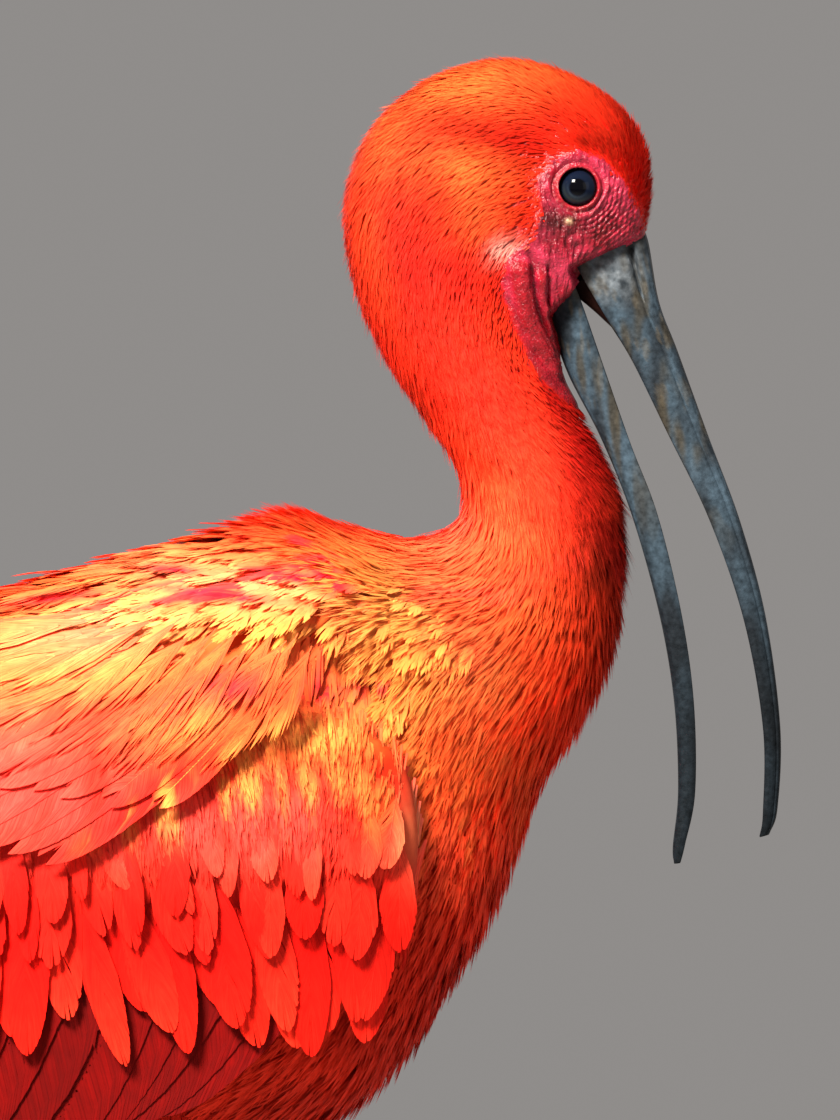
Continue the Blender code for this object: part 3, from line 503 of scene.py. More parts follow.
def outward_faces(points, faces, strand_count):
    """Turns any strand whose faces point inwards, by the sign of its volume."""
    tri = faces.reshape(-1, strand_count, 3)
    a, b, c = (points[tri[..., i]] for i in range(3))
    middle = a.mean(axis=1, keepdims=True)
    volume = np.einsum("nti,nti->n", a - middle, np.cross(b - middle, c - middle))
    return np.where((volume < 0)[:, None, None], tri[..., ::-1], tri).reshape(-1, 3)


def laid(root, ahead, beside, up, along, across, height):
    """Points of many feathers, from each one's root and its three directions."""
    return (root[:, None, :] + ahead[:, None, :] * along[..., None] + beside[:, None, :] * across[..., None]
            + up[:, None, :] * height[..., None])


def coat_piece(name, cut, lengths, widths, place, tints, homes, rng, finish, nodes, patch=0.003,
               painted=False):
    """Many feathers as one mesh. place turns local places into points, tints gives root and tip colours,
    or factors on the plumage where it is painted, homes is each root's place on the unwrapped skin."""
    along, across, height, tone, grain, faces = feather_shapes(cut, lengths, widths, rng)
    points = place(along, across, height).reshape(-1, 3)
    share = np.clip(along / lengths[:, None], 0, 1)
    root_tint, tip_tint = tints
    colours = root_tint[:, None, :] * (1 - share[..., None]) + tip_tint[:, None, :] * share[..., None]
    colours = colours.reshape(-1, 3)
    if painted:
        colours = colours * plumage(points)
    every = faces[None] + np.arange(len(along))[:, None, None] * along.shape[1]
    triangles = outward_faces(points, every.reshape(-1, 3), 4 + 6 * (len(cut.rings) - 1))
    sideways = np.clip(across / np.maximum(widths[:, None], 0.1), -0.5, 0.5)
    uv = homes[:, None, :] + np.stack((sideways, share - 0.5), axis=2) * patch
    obj = joined_feathers(name, points, triangles, uv.reshape(-1, 2))
    paint(obj, colours, along=share, tone=tone, grain=grain)
    return finish_piece(obj, finish, nodes)


def on_body(t, angle, depth, turn, lift, bend):
    """Places feathers on the body, rooted below its surface and lying backwards."""
    point, normal, back = surface_frame(t, angle)
    across = np.cross(normal, back)
    c, s = np.cos(turn)[:, None], np.sin(turn)[:, None]
    root = point - normal * depth[:, None]

    def place(along, side, height):
        rise = height + lift[:, None] * along + bend[:, None] * along ** 2
        return laid(root, back * c + across * s, across * c - back * s, normal, along, side, rise)
    return place


def signed(angle):
    """The angle from the middle of the back, between -pi and pi."""
    return np.mod(angle + math.pi, 2 * math.pi) - math.pi


def skin_home(t, angle):
    """Place of a root on the unwrapped skin."""
    return MAP_EDGE + MAP_SIZE * np.stack((np.mod(angle, 2 * math.pi) / (2 * math.pi), t / RUMP_END), axis=1)


def scatter(t_low, t_high, spacing, rng, keep):
    """Even chance roots on the body, about this far apart, where keep allows them."""
    cells = 48
    turns = np.linspace(0, 2 * math.pi, cells, endpoint=False)
    rows_t, rows_a = [], []
    steps = np.linspace(t_low, t_high, 400)
    for low, high in zip(steps[:-1], steps[1:]):
        ring, ahead = (outer_surface(np.full(cells, t), turns) for t in ((low + high) / 2, high))
        sides = np.linalg.norm(np.roll(ring, -1, axis=0) - ring, axis=1)
        depths = np.linalg.norm(ahead - ring, axis=1) * 2
        index = np.repeat(np.arange(cells), rng.poisson(sides * depths / spacing ** 2))
        rows_t.append(rng.uniform(low, high, len(index)))
        rows_a.append((index + rng.uniform(0, 1, len(index))) * 2 * math.pi / cells)
    t, angle = np.concatenate(rows_t), np.concatenate(rows_a)
    allowed = keep(t, angle)
    return t[allowed], angle[allowed]


# Finishes
def shader_of(name, roughness, specular):
    finish = bpy.data.materials.new(name)
    finish.use_nodes = True
    tree = finish.node_tree
    shader = tree.nodes["Principled BSDF"]
    shader.inputs["Roughness"].default_value = roughness
    shader.inputs["Specular IOR Level"].default_value = specular
    return finish, tree, shader


def node(tree, kind, **values):
    made = tree.nodes.new(kind)
    for key, value in values.items():
        setattr(made, key, value)
    return made


def feed(tree, socket, value):
    """Gives a socket another node's output, a number or a colour."""
    if isinstance(value, bpy.types.NodeSocket):
        tree.links.new(value, socket)
    else:
        socket.default_value = value if np.ndim(value) == 0 else (*value, 1)


def attribute(tree, name):
    made = node(tree, "ShaderNodeAttribute", attribute_name=name)
    return made.outputs["Color" if name == "tint" else "Fac"]


def noise(tree, scale, detail=3.0, rough=0.5, vector=None, output="Fac"):
    """Noise on the object's own coordinates, or on another vector."""
    made = node(tree, "ShaderNodeTexNoise")
    made.inputs["Scale"].default_value = scale
    made.inputs["Detail"].default_value = detail
    made.inputs["Roughness"].default_value = rough
    feed(tree, made.inputs["Vector"], vector or node(tree, "ShaderNodeTexCoord").outputs["Object"])
    return made.outputs[output]


def ramp(tree, source, low, dark, high, light):
    made = node(tree, "ShaderNodeValToRGB")
    for element, place, colour in zip(made.color_ramp.elements, (low, high), (dark, light)):
        element.position, element.color = place, (*colour, 1)
    feed(tree, made.inputs["Fac"], source)
    return made.outputs["Color"]


def blend_colours(tree, kind, factor, a, b):
    made = node(tree, "ShaderNodeMix", data_type="RGBA", blend_type=kind)
    for place, value in ((0, factor), (6, a), (7, b)):
        feed(tree, made.inputs[place], value)
    return made.outputs[2]


def maths(tree, operation, *values):
    made = node(tree, "ShaderNodeMath", operation=operation)
    for socket, value in zip(made.inputs, values):
        feed(tree, socket, value)
    return made.outputs[0]


def bump(tree, shader, height, strength, distance):
    made = node(tree, "ShaderNodeBump")
    made.inputs["Strength"].default_value = strength
    made.inputs["Distance"].default_value = distance
    feed(tree, made.inputs["Height"], height)
    feed(tree, shader.inputs["Normal"], made.outputs["Normal"])


def barb_lines(tree):
    """Fine lines that run along each barb."""
    place = node(tree, "ShaderNodeCombineXYZ")
    feed(tree, place.inputs["X"], attribute(tree, "grain"))
    feed(tree, place.inputs["Y"], maths(tree, "MULTIPLY", attribute(tree, "tone"), 40.0))
    feed(tree, place.inputs["Z"], maths(tree, "MULTIPLY", attribute(tree, "along"), 3.0))
    return noise(tree, 2.6, 2.0, vector=place.outputs[0])


def feather_finish(name, tone_shift, lined=False):
    """Feathers: the tint of their place, varied barb by barb."""
    finish, tree, shader = shader_of(name, 0.65, 0.08)
    light = maths(tree, "MULTIPLY_ADD", attribute(tree, "tone"), tone_shift, 1.0)
    darker = ramp(tree, noise(tree, 260.0), 0.3, (0.88, 0.82, 0.8), 0.7, (1.08, 1.08, 1.08))
    varied = blend_colours(tree, "MULTIPLY", 1.0, attribute(tree, "tint"), darker)
    if lined:
        lines = barb_lines(tree)
        shade = ramp(tree, lines, 0.32, (0.80, 0.62, 0.62), 0.66, (1.12, 1.16, 1.16))
        varied = blend_colours(tree, "MULTIPLY", 1.0, varied, shade)
        bump(tree, shader, lines, 0.35, 0.0003)
    scaled = node(tree, "ShaderNodeVectorMath", operation="SCALE")
    feed(tree, scaled.inputs[0], varied)
    feed(tree, scaled.inputs["Scale"], light)
    feed(tree, shader.inputs["Base Color"], scaled.outputs[0])
    return finish


def skin_finish():
    """Bare face and the skin under the coat: wrinkled, with fine pores, and pale specks on the bare face
    that are partly painted glints.
    """
    finish, tree, shader = shader_of("skin_finish", 0.27, 0.42)
    shader.inputs["Subsurface Weight"].default_value = 0.08
    shader.inputs["Subsurface Radius"].default_value = (0.0012, 0.0003, 0.0003)
    # Pale specks on the bare face: pores, and also painted glints of wet skin
    pale = ramp(tree, noise(tree, 1900.0, 2.0), 0.62, (0.0, 0.0, 0.0), 0.78, (0.22, 0.10, 0.12))
    light = blend_colours(tree, "ADD", attribute(tree, "bare"), attribute(tree, "tint"), pale)
    shade = ramp(tree, noise(tree, 420.0), 0.3, (0.62, 0.5, 0.55), 0.65, (1.1, 1.1, 1.1))
    feed(tree, shader.inputs["Base Color"], blend_colours(tree, "MULTIPLY", 1.0, light, shade))
    cells = node(tree, "ShaderNodeTexVoronoi", feature="DISTANCE_TO_EDGE")
    cells.inputs["Scale"].default_value = 1100.0
    shifted = node(tree, "ShaderNodeVectorMath", operation="MULTIPLY_ADD")
    feed(tree, shifted.inputs[0], noise(tree, 600.0, 2.0, output="Color"))
    shifted.inputs[1].default_value = (0.0012, 0.0012, 0.0012)
    feed(tree, shifted.inputs[2], node(tree, "ShaderNodeTexCoord").outputs["Object"])
    feed(tree, cells.inputs["Vector"], shifted.outputs[0])
    pits = maths(tree, "MULTIPLY", cells.outputs["Distance"], 0.55)
    bump(tree, shader, maths(tree, "ADD", pits, noise(tree, 1300.0, 3.0, 0.6)), 0.85, 0.0004)
    return finish


# Where the two halves of the bill come out of the skin, seen from the side, and how wide the skin is there
BILL_GATES = (
    (np.array(((124.6, 392.6), (129.4, 394.8), (136.3, 398.0), (141.5, 400.6), (152.0, 402.0),
               (152.0, 380.0), (127.0, 387.0))), 5.2),
    (np.array(((126.4, 387.4), (122.6, 384.2), (119.8, 380.8), (121.9, 373.0), (125.2, 364.0),
               (133.4, 350.0), (146.0, 352.0), (138.0, 384.0))), 2.2),
)


def tucked_in(points):
    """Skin drawn in under the bill's two halves, so that they come out of it with a clear edge."""
    width = np.abs(points[:, 1])
    for corners, limit in BILL_GATES:
        share = blend_step(-0.5, 0.7, polygon_depth(points[:, 0], points[:, 2], corners))
        width = width * (1 - share) + np.minimum(width, limit) * share
    return np.stack((points[:, 0], np.sign(points[:, 1]) * width, points[:, 2]), axis=1)


# Ropes of loose skin on the throat: points of the middle x, z, and first and last radius
FOLDS = (
    (((111.8, 396.0), (112.6, 388.0), (114.6, 380.5), (118.6, 372.5), (123.0, 365.0)), 3.0, 1.8),
    (((117.6, 393.5), (117.9, 387.0), (119.4, 380.5), (122.3, 374.0)), 1.7, 0.9),
)


def fold_height(x, z):
    """Height of the throat folds, with a crease along each."""
    total = np.zeros(len(x))
    for points, first, last in FOLDS:
        path = catmull(points, np.linspace(0, len(points) - 1, 70))
        dx, dz = x[:, None] - path[None, :, 0], z[:, None] - path[None, :, 1]
        away = np.hypot(dx, dz)
        nearest = np.argmin(away, axis=1)
        row = np.arange(len(x))
        distance = away[row, nearest]
        share = nearest / (len(path) - 1)
        radius = first + (last - first) * share
        body = np.sqrt(np.clip(1 - (distance / radius) ** 2, 0, 1)) * radius * 0.8
        lines = 0.13 * np.sin(dx[row, nearest] * 7.0 + 0.25 * dz[row, nearest]) * (distance < radius * 0.85)
        ends = blend_step(0.0, 0.10, share) * (1 - blend_step(0.93, 1.0, share))
        crease = -1.1 * np.exp(-((distance - radius * 1.12) / 0.5) ** 2)
        total = np.maximum(total, 0) + np.where(distance < radius * 2, (body + lines + crease) * ends, 0.0)
    return total


GAPE = (125.0, 391.0)
WART = (124.6, 404.4)


def face_detail(points):
    """Lids, wrinkles and folds of the bare face, as a height over the plain head."""
    x, z = points[:, 0], points[:, 2]
    ex, ez = x - EYE_PLACE[0], z - EYE_PLACE[1]
    ring, turn = np.hypot(ex, ez), np.arctan2(ez, ex)
    bare = blend_step(-1.0, 2.0, bare_depth(points))
    rough = ripple(points, 2.6)
    fine = ripple(points[:, [2, 0, 1]] + 7.0, 0.9)
    tiny = ripple(points[:, [0, 2, 1]] - 5.0, 0.45)
    lid = (0.85 + 0.25 * rough) * np.exp(-((ring - 5.2 - 0.12 * rough) / 0.42) ** 2)
    lower = np.clip(-np.cos(turn - 0.9), 0, 1)
    beads = 0.25 * np.exp(-((ring - 6.1) / 0.3) ** 2) * np.clip(np.cos(22 * turn), 0, 1) ** 2 * lower
    outer_lid = (0.25 + 0.3 * np.clip(np.cos(turn + 0.9), 0, 1)) * np.exp(
        -((ring - 7.3 - 0.35 * np.sin(3 * turn) - 0.3 * rough) / 0.42) ** 2)
    crease = -0.7 * np.exp(-((ring - 6.3) / 0.3) ** 2)
    socket = -2.6 * (1 - blend_step(4.3, 4.9, ring))
    below = 0.45 + 0.55 * np.clip(-np.sin(turn + 0.4), 0, 1)
    around = 0.36 * below * np.sin(ring * 5.2 + 3.0 * rough + 1.4 * fine)
    around = around * np.exp(-((ring - 10.0) / 3.6) ** 2)
    gx, gz = x - GAPE[0], z - GAPE[1]
    reach, fan = np.hypot(gx, gz), np.arctan2(gz, gx)
    rays = 0.3 * np.sin(fan * 19.0 + 3.0 * rough + fine) * np.exp(-((reach - 8.0) / 4.5) ** 2)
    wrinkles = bare * (0.22 * rough + 0.24 * fine + 0.16 * tiny + rays + around) * blend_step(6.2, 8.0, ring)
    wart = 0.6 * np.exp(-((x - WART[0]) ** 2 / 0.7 + (z - WART[1]) ** 2 / 0.3))
    return lid + beads + outer_lid + crease + socket + wrinkles + wart + fold_height(x, z)


def skin_colour(points):
    """Skin tint: plumage under the coat, pink and crimson where the face is bare, with painted highlights
    and painted wrinkle shade there.
    """
    colour = plumage(points) * (0.97, 0.5, 0.6)
    x, z = points[:, 0], points[:, 2]
    bare = blend_step(-0.6, 0.8, bare_depth(points) + 0.5 * ripple(points, 1.6))
    ring = np.hypot(x - EYE_PLACE[0], z - EYE_PLACE[1])
    turn = np.arctan2(z - EYE_PLACE[1], x - EYE_PLACE[0])
    face = mix(np.tile(FACE_PINK, (len(points), 1)), FACE_LIGHT,
               np.clip(0.30 + 0.55 * ripple(points, 2.4), 0, 0.7) * blend_step(4.0, 8.0, ring))
    # Lighter pink skin above and in front of the eye and at the gape, with painted highlights on its
    # wrinkles
    light = spot(points, 133, 418, 8, 3.4, -35) + spot(points, 138.5, 409, 4, 6)
    light = light + spot(points, 121, 393, 4, 4)
    face = mix(face, FACE_LIGHT * 1.1, 0.75 * np.clip(light, 0, 1))
    face = mix(face, FACE_DARK, 0.95 * spot(points, 121, 404.0, 8.5, 4.0, -15))
    face = mix(face, FOLD_CRIMSON * 0.8, 0.7 * spot(points, 134, 402.5, 7, 3.0, 25))
    fold = blend_step(0.5, 1.4, fold_height(x, z))
    face = mix(face, FOLD_CRIMSON, np.maximum(fold, 1 - blend_step(378, 390, z)) * 0.9)
    rim = np.exp(-((ring - 5.25) / 0.5) ** 2)
    face = mix(face, np.array((0.50, 0.016, 0.026)), 0.8 * rim)
    face = mix(face, FACE_DARK * 0.5, 0.9 * np.exp(-((ring - 4.5) / 0.35) ** 2))
    bead = np.exp(-((ring - 6.1) / 0.28) ** 2) * np.clip(np.cos(22 * turn), 0, 1) ** 2
    face = mix(face, np.array((0.75, 0.28, 0.26)), 0.7 * bead * np.clip(-np.cos(turn - 0.9), 0, 1))
    # Painted shade and light on the wrinkles: darker where they sink, lighter where they rise
    wrinkle_shade = ripple(points[:, [2, 0, 1]] + 7.0, 0.9) + 0.6 * ripple(points[:, [0, 2, 1]] - 5.0, 0.45)
    face = face * (1 + 0.25 * np.clip(wrinkle_shade, -1, 1))[:, None]
    wart = np.exp(-((x - WART[0]) ** 2 / 0.8 + (z - WART[1]) ** 2 / 0.35))
    face = mix(face, np.array((0.72, 0.5, 0.28)), wart)
    return mix(colour, face, bare), bare


def make_skin():
    """One closed skin from the bill's root to the rump, moved from a sphere ring by ring."""
    bm, down, angle = ball(224, 340)
    angle = angle + 0.3 * np.sin(2 * angle)
    t = np.interp(down, (0.0, 0.02, 0.56, 0.68, 0.8, 0.985, 1.0),
                  (0.0, 0.06, 5.0, HEAD_END, NECK_END, RUMP_END - 0.1, RUMP_END))
    point, normal, _ = surface_frame(t, angle)
    height = np.where(t < HEAD_END + 1, face_detail(point), 0.0)
    height = height * blend_step(0.15, 0.6, np.abs(normal[:, 1]))
    moved = point + normal * (height - coat_depth(t, point))[:, None]
    middle = halfway(catmull(STATIONS, t))
    cap = blend_step(0.0, 0.012, np.minimum(down, 1 - down))
    obj = shaped("skin", bm, tucked_in(middle + (moved - middle) * cap[:, None]))
    colour, bare = skin_colour(point)
    paint(obj, colour, bare=bare)
    unwrap(obj.data, skin_home(t, angle))
    finish_piece(obj, skin_finish(), ("head", "neck_upper", "neck_lower", "torso"))


def unwrap(mesh, homes):
    """The skin's own map, where faces across the seam run on past its edge."""
    corners = np.zeros(len(mesh.loops), np.int32)
    mesh.loops.foreach_get("vertex_index", corners)
    uv = homes[corners]
    totals = np.zeros(len(mesh.polygons), np.int32)
    mesh.polygons.foreach_get("loop_total", totals)
    owner = np.repeat(np.arange(len(totals)), totals)
    highest = np.zeros(len(totals))
    np.maximum.at(highest, owner, uv[:, 0])
    uv[(highest[owner] > 0.8) & (uv[:, 0] < 0.2), 0] += MAP_SIZE
    mesh.uv_layers.new(name="OFBake").data.foreach_set("uv", np.clip(uv, 0, 1).astype(np.float32).ravel())


# Small feathers are redder and darker towards their roots
ROOT_TINT = np.array((0.95, 0.72, 0.72))

# The kinds of feathers: small ones of the coat, then the vanes of wing, shoulder, tail and mantle
DOWN_CUT = Cut(1, slant=0.8, point=2.0, part=0.12, rings=(0.0,), camber=0.05, thick=0.14, shaft=0.27,
               fluff=0.015, fine=0.26)
STREAMER_CUT = Cut(2, slant=0.75, point=2.0, part=0.12, rings=(0.0,), camber=0.06, thick=0.2, shaft=0.28,
                   fluff=0.018, fine=0.36)
BODY_CUT = Cut(4, slant=0.6, point=2.2, part=0.1, rings=(0.0,), camber=0.05, thick=0.2, shaft=0.4,
               fluff=0.02, fine=0.6)
FLIGHT_CUT = Cut(34, slant=0.3, point=4.0, part=0.006, rings=(0.0, 0.5, 0.985), keep=1.0, camber=0.03,
                 thick=0.22, shaft=0.4)
COVERT_CUT = Cut(24, slant=0.55, point=1.6, part=0.012, rings=(0.0, 0.5, 0.98), keep=0.95, camber=0.10,
                 thick=0.2, shaft=0.18)
MEDIAN_CUT = Cut(15, slant=0.6, point=1.8, part=0.02, rings=(0.0, 0.5, 0.97), keep=0.9, camber=0.10,
                 thick=0.18, shaft=0.16)
SHAGGY_CUT = Cut(13, slant=0.66, point=1.8, part=0.12, rings=(0.0, 0.6), keep=0.7, camber=0.08,
                 thick=0.16, shaft=0.14, fluff=0.008)
LESSER_CUT = Cut(4, slant=0.75, point=1.6, part=0.14, rings=(0.0,), camber=0.07, thick=0.18, shaft=0.35,
                 fluff=0.012, fine=0.6)
MANTLE_CUT = Cut(9, slant=0.66, point=2.0, part=0.12, rings=(0.0, 0.65), keep=0.8, camber=0.08,
                 thick=0.10, shaft=0.0, fluff=0.009)

# Tracts of the head and neck: name, first and last station, and distance between roots
HEAD_TRACTS = (
    ("coat_crown", 0.12, 4.0, 0.60),
    ("coat_nape", 4.0, 7.6, 0.64),
    ("coat_throat", 7.6, 10.6, 0.69),
    ("coat_neck", 10.6, 13.4, 0.80),
)


def make_head_coat():
    """Small tufts on head and neck, shorter near the bare face and ruffled on the forehead."""
    rng = np.random.default_rng(21)

    def keep(t, angle):
        points = outer_surface(t, angle)
        return bare_depth(points) < rng.normal(size=len(t)) * (points[:, 2] > 385)
    for name, low, high, gap in HEAD_TRACTS:
        t, angle = scatter(low, high, gap, rng, keep)
        count = len(t)
        point = outer_surface(t, angle)
        near = np.clip(-bare_depth(point), 0, 14) / 14
        length = np.interp(t, (0, 1.5, 4, 8, 11, 13.4), (3.0, 4.2, 5.4, 6.6, 8.5, 11.0))
        length = length * (0.36 + 0.64 * near ** 0.6) * rng.uniform(0.8, 1.2, count)
        width = length * 0.17 * rng.uniform(0.8, 1.25, count)
        depth = coat_depth(t, point) + 0.1
        turn = 0.14 * ripple(point, 9.0) + rng.normal(size=count) * 0.12
        lift = (depth + 0.15) / length * rng.uniform(0.8, 1.2, count) * 1.1
        forehead = np.exp(-(t / 2.2) ** 4) * blend_step(0.5, 0.8, np.cos(angle)) * (point[:, 0] > 133)
        ruffled = rng.uniform(0, 1, count) < 0.07
        lift = lift + 0.6 * forehead * rng.uniform(0, 1, count) ** 2 + ruffled * rng.uniform(0.1, 0.3, count)
        place = on_body(t, angle, depth, turn, lift, -lift / length * 0.25)
        base = plumage(point)
        shade = 1 + 0.09 * ripple(point, 5.0)[:, None] + 0.06 * rng.normal(size=(count, 1))
        tip = mix(base, ORANGE, 0.045 + 0.045 * np.clip(ripple(point, 12.0), -1, 1))
        coat_piece(name, DOWN_CUT, length, width, place, (base * ROOT_TINT * shade, tip * shade),
                   skin_home(t, angle), rng, coat_finish, ())


# Where the shoulder feathers root: station, angles round the body of the two borders, and share of the
# greatest rise
SCAPULAR_ROOTS = np.array((
    (15.8, 38.0, 60.0, 0.15),
    (16.3, 34.0, 70.0, 0.5),
    (17.0, 30.0, 74.0, 0.95),
    (18.0, 30.0, 66.0, 1.0),
    (19.0, 32.0, 60.0, 0.95),
    (20.0, 36.0, 58.0, 0.75),
    (20.9, 42.0, 57.0, 0.4),
))
SCAPULAR_RISE = 11.5


def pad_rise(t, angle):
    """How far the roots of the shoulder feathers stand out from the body."""
    low, high, rise = (np.interp(t, SCAPULAR_ROOTS[:, 0], SCAPULAR_ROOTS[:, i]) for i in (1, 2, 3))
    f = (np.degrees(np.abs(signed(angle))) - low) / (high - low)
    rise = rise * blend_step(15.3, 16.0, t) * (1 - blend_step(20.8, 21.3, t))
    fade = np.interp(t, (16.4, 17.6), (0.6, 0.05))
    return SCAPULAR_RISE * rise * np.clip(f, 0, 1) ** 1.3 * (1 - blend_step(0.0, 1.0, (f - 1) / fade))


def bare_flank(t, angle):
    """Leaves out what the folded wing covers."""
    x, y, z = outer_surface(t, angle).T
    return ~((x < 70) & (x > -60) & (z > 215) & (z < 284) & (np.abs(y) > 30))


def on_mantle(t, angle):
    """True on the back and the shoulder feathers' roots."""
    edge = np.interp(t, SCAPULAR_ROOTS[:, 0], SCAPULAR_ROOTS[:, 2])
    edge = np.maximum(edge + 5, np.interp(t, (14.4, 15.4, 16.6, 17.4), (92.0, 97.0, 95.0, 60.0)))
    return (np.degrees(np.abs(signed(angle))) < edge) & (outer_surface(t, angle)[:, 2] > 285)


def off_mantle(t, angle):
    return bare_flank(t, angle) & (~on_mantle(t, angle) | (t > 21.0))


# Tracts of the body: name, first and last station, distance between roots, kind of feather, first and
# last length, share of the length that is the width, and where they grow
BODY_TRACTS = (
    ("coat_breast", 13.2, 16.2, 1.18, STREAMER_CUT, (12.0, 15.0), 0.21, bare_flank),
    ("coat_chest", 16.2, 18.6, 1.8, BODY_CUT, (16.0, 18.0), 0.40, off_mantle),
    ("coat_body", 18.6, 24.0, 3.0, BODY_CUT, (20.0, 21.0), 0.42, off_mantle),
    ("coat_mantle", 14.9, 17.6, 3.15, MANTLE_CUT, (13.0, 21.0), 0.46, on_mantle),
    ("coat_back", 17.6, 21.2, 4.2, MANTLE_CUT, (21.0, 25.0), 0.50, on_mantle),
)


def make_body_coat():
    """Breast, belly and back. The mantle's shaggy feathers turn down over the shoulder."""
    rng = np.random.default_rng(31)
    for name, low, high, gap, cut, size, narrow, keep in BODY_TRACTS:
        t, angle = scatter(low, high, gap, rng, keep)
        count = len(t)
        point = outer_surface(t, angle)
        turned = signed(angle)
        length = np.interp(t, (low, high), size) * rng.uniform(0.8, 1.2, count)
        width = length * narrow * rng.uniform(0.85, 1.2, count)
        shaggy = cut is MANTLE_CUT
        depth = coat_depth(t, point) + 0.4
        down = np.interp(np.abs(turned), (0.35, 1.0, 1.3), (0.05, 0.30, 0.55)) * shaggy * np.sign(turned)
        turn = 0.14 * ripple(point, 14.0) + rng.normal(size=count) * (0.13 if shaggy else 0.09) - down
        lift = (depth + 0.5) / length * rng.uniform(0.75, 1.35, count) * 1.1
        ruffled = (rng.uniform(0, 1, count) < 0.06) & shaggy & (np.abs(turned) < 0.8)
        lift = lift + ruffled * rng.uniform(0.05, 0.22, count)
        bend = -lift / length * (0.45 if shaggy else 0.3)
        kept = 1 if shaggy else 1 - blend_step(16.0, 16.8, t)
        rise = pad_rise(t, angle) * kept
        pace = np.linalg.norm(outer_surface(t + 0.2, angle) - outer_surface(t - 0.2, angle), axis=1) / 0.4
        ahead = pad_rise(t + 0.7 * length / pace, angle + down * length / 45.0) * kept
        lift = lift + (ahead - rise) / (0.7 * length)
        place = on_body(t, angle, depth - rise, turn, lift, bend)
        if shaggy:
            tints = vane_tint(count, "", rng)
        else:
            base = plumage(point)
            shade = 1 + 0.12 * ripple(point, 7.0)[:, None]
            tints = (base * ROOT_TINT * 0.93 * shade, mix(base, ORANGE, 0.05) * shade)
        coat_piece(name, cut, length, width, place, tints, skin_home(t, angle), rng, coat_finish, (),
                   painted=shaggy)


# Clad flesh under the large feathers: red, as deep in the plumage
UNDER_TINT = np.array((0.7, 0.3, 0.3))

# Flank and wing sheets, as functions of the side view
RAIL_STEPS = np.linspace(NECK_END - 1.0, RUMP_END, 200)
RAILS = catmull(STATIONS, RAIL_STEPS)
WING_WIDTHS = np.array(((-178.0, 7.0), (-150.0, 12.0), (-120.0, 21.0), (-85.0, 33.5), (-45.0, 45.0),
                        (0.0, 50.0), (45.0, 49.0), (75.0, 43.0), (100.0, 32.0)))


def torso_share(x, z):
    """Half width, widest place and share from back to belly of the ring through each place."""
    back, front = RAILS[:, 0:2], RAILS[:, 2:4]
    along = front - back
    side = (along[None, :, 0] * (z[:, None] - back[None, :, 1])
            - along[None, :, 1] * (x[:, None] - back[None, :, 0]))
    last = len(RAILS) - 2
    k = np.where((side > 0).any(axis=1), np.clip(np.argmax(side > 0, axis=1) - 1, 0, last), last)
    index = np.arange(len(x))
    s0, s1 = side[index, k], side[index, k + 1]
    f = np.clip(s0 / np.where(s0 == s1, 1.0, s0 - s1), 0, 1)[:, None]
    row = RAILS[k] * (1 - f) + RAILS[k + 1] * f
    span = row[:, 2:4] - row[:, 0:2]
    share = np.sum((np.stack((x, z), axis=1) - row[:, 0:2]) * span, axis=1) / np.sum(span * span, axis=1)
    return row[:, 4], row[:, 5], share


def wing_sheet(x, z):
    """Half width at which the folded wing lies, which runs on past the torso to the wing tips."""
    full = np.interp(x, WING_WIDTHS[:, 0], WING_WIDTHS[:, 1])
    width, widest, share = torso_share(x, z)
    above = share < widest
    c = np.abs(widest - share) / np.where(above, widest, 1 - widest)
    turned = np.minimum(c * np.where(above, 0.92, 0.5), 0.97)
    wrapped = full * (1 - turned ** RING_POWER) ** (1 / RING_POWER)
    flank = width * np.clip(1 - c ** RING_POWER, 0, 1) ** (1 / RING_POWER)
    return (wrapped ** 8 + (flank + 0.8) ** 8) ** 0.125


def scapular_sheet(x, z):
    """Half width at which the shoulder feathers lie: on the back above, over the wing below."""
    return wing_sheet(x, z) + 1.5 + 11.0 * blend_step(0.08, 0.34, torso_share(x, z)[2])


def sheet_point(sheet, x, z, height):
    """Points on a sheet of the flank, raised along its normal."""
    step, steepest, shape = 1.5, 1.6, x.shape
    x, z, height = x.ravel(), z.ravel(), height.ravel()
    slope_x = (sheet(x + step, z) - sheet(x - step, z)) / (2 * step)
    slope_z = (sheet(x, z + step) - sheet(x, z - step)) / (2 * step)
    normal = unit(np.stack((-np.clip(slope_x, -steepest, steepest), np.ones(len(x)),
                            -np.clip(slope_z, -steepest, steepest)), axis=1))
    return (np.stack((x, sheet(x, z), z), axis=1) + normal * height[:, None]).reshape(*shape, 3)


def sheet_place(sheet, roots, angles, bend, lengths, lifts, roll, side):
    """Places feathers on a sheet of the flank. angles are down from straight back."""
    def place(along, across, height):
        share = along / lengths[:, None]
        turn = np.radians(angles[:, None] + bend[:, None] * share)
        middle = np.radians(angles[:, None] + bend[:, None] * share / 2)
        x = roots[:, :1] - np.cos(middle) * along + np.sin(turn) * across
        z = roots[:, 1:] - np.sin(middle) * along - np.cos(turn) * across
        rise = height + lifts[:, :1] + (lifts[:, 1:] - lifts[:, :1]) * share + roll * across
        return sheet_point(sheet, x, z, rise) * (1, side, 1)
    return place


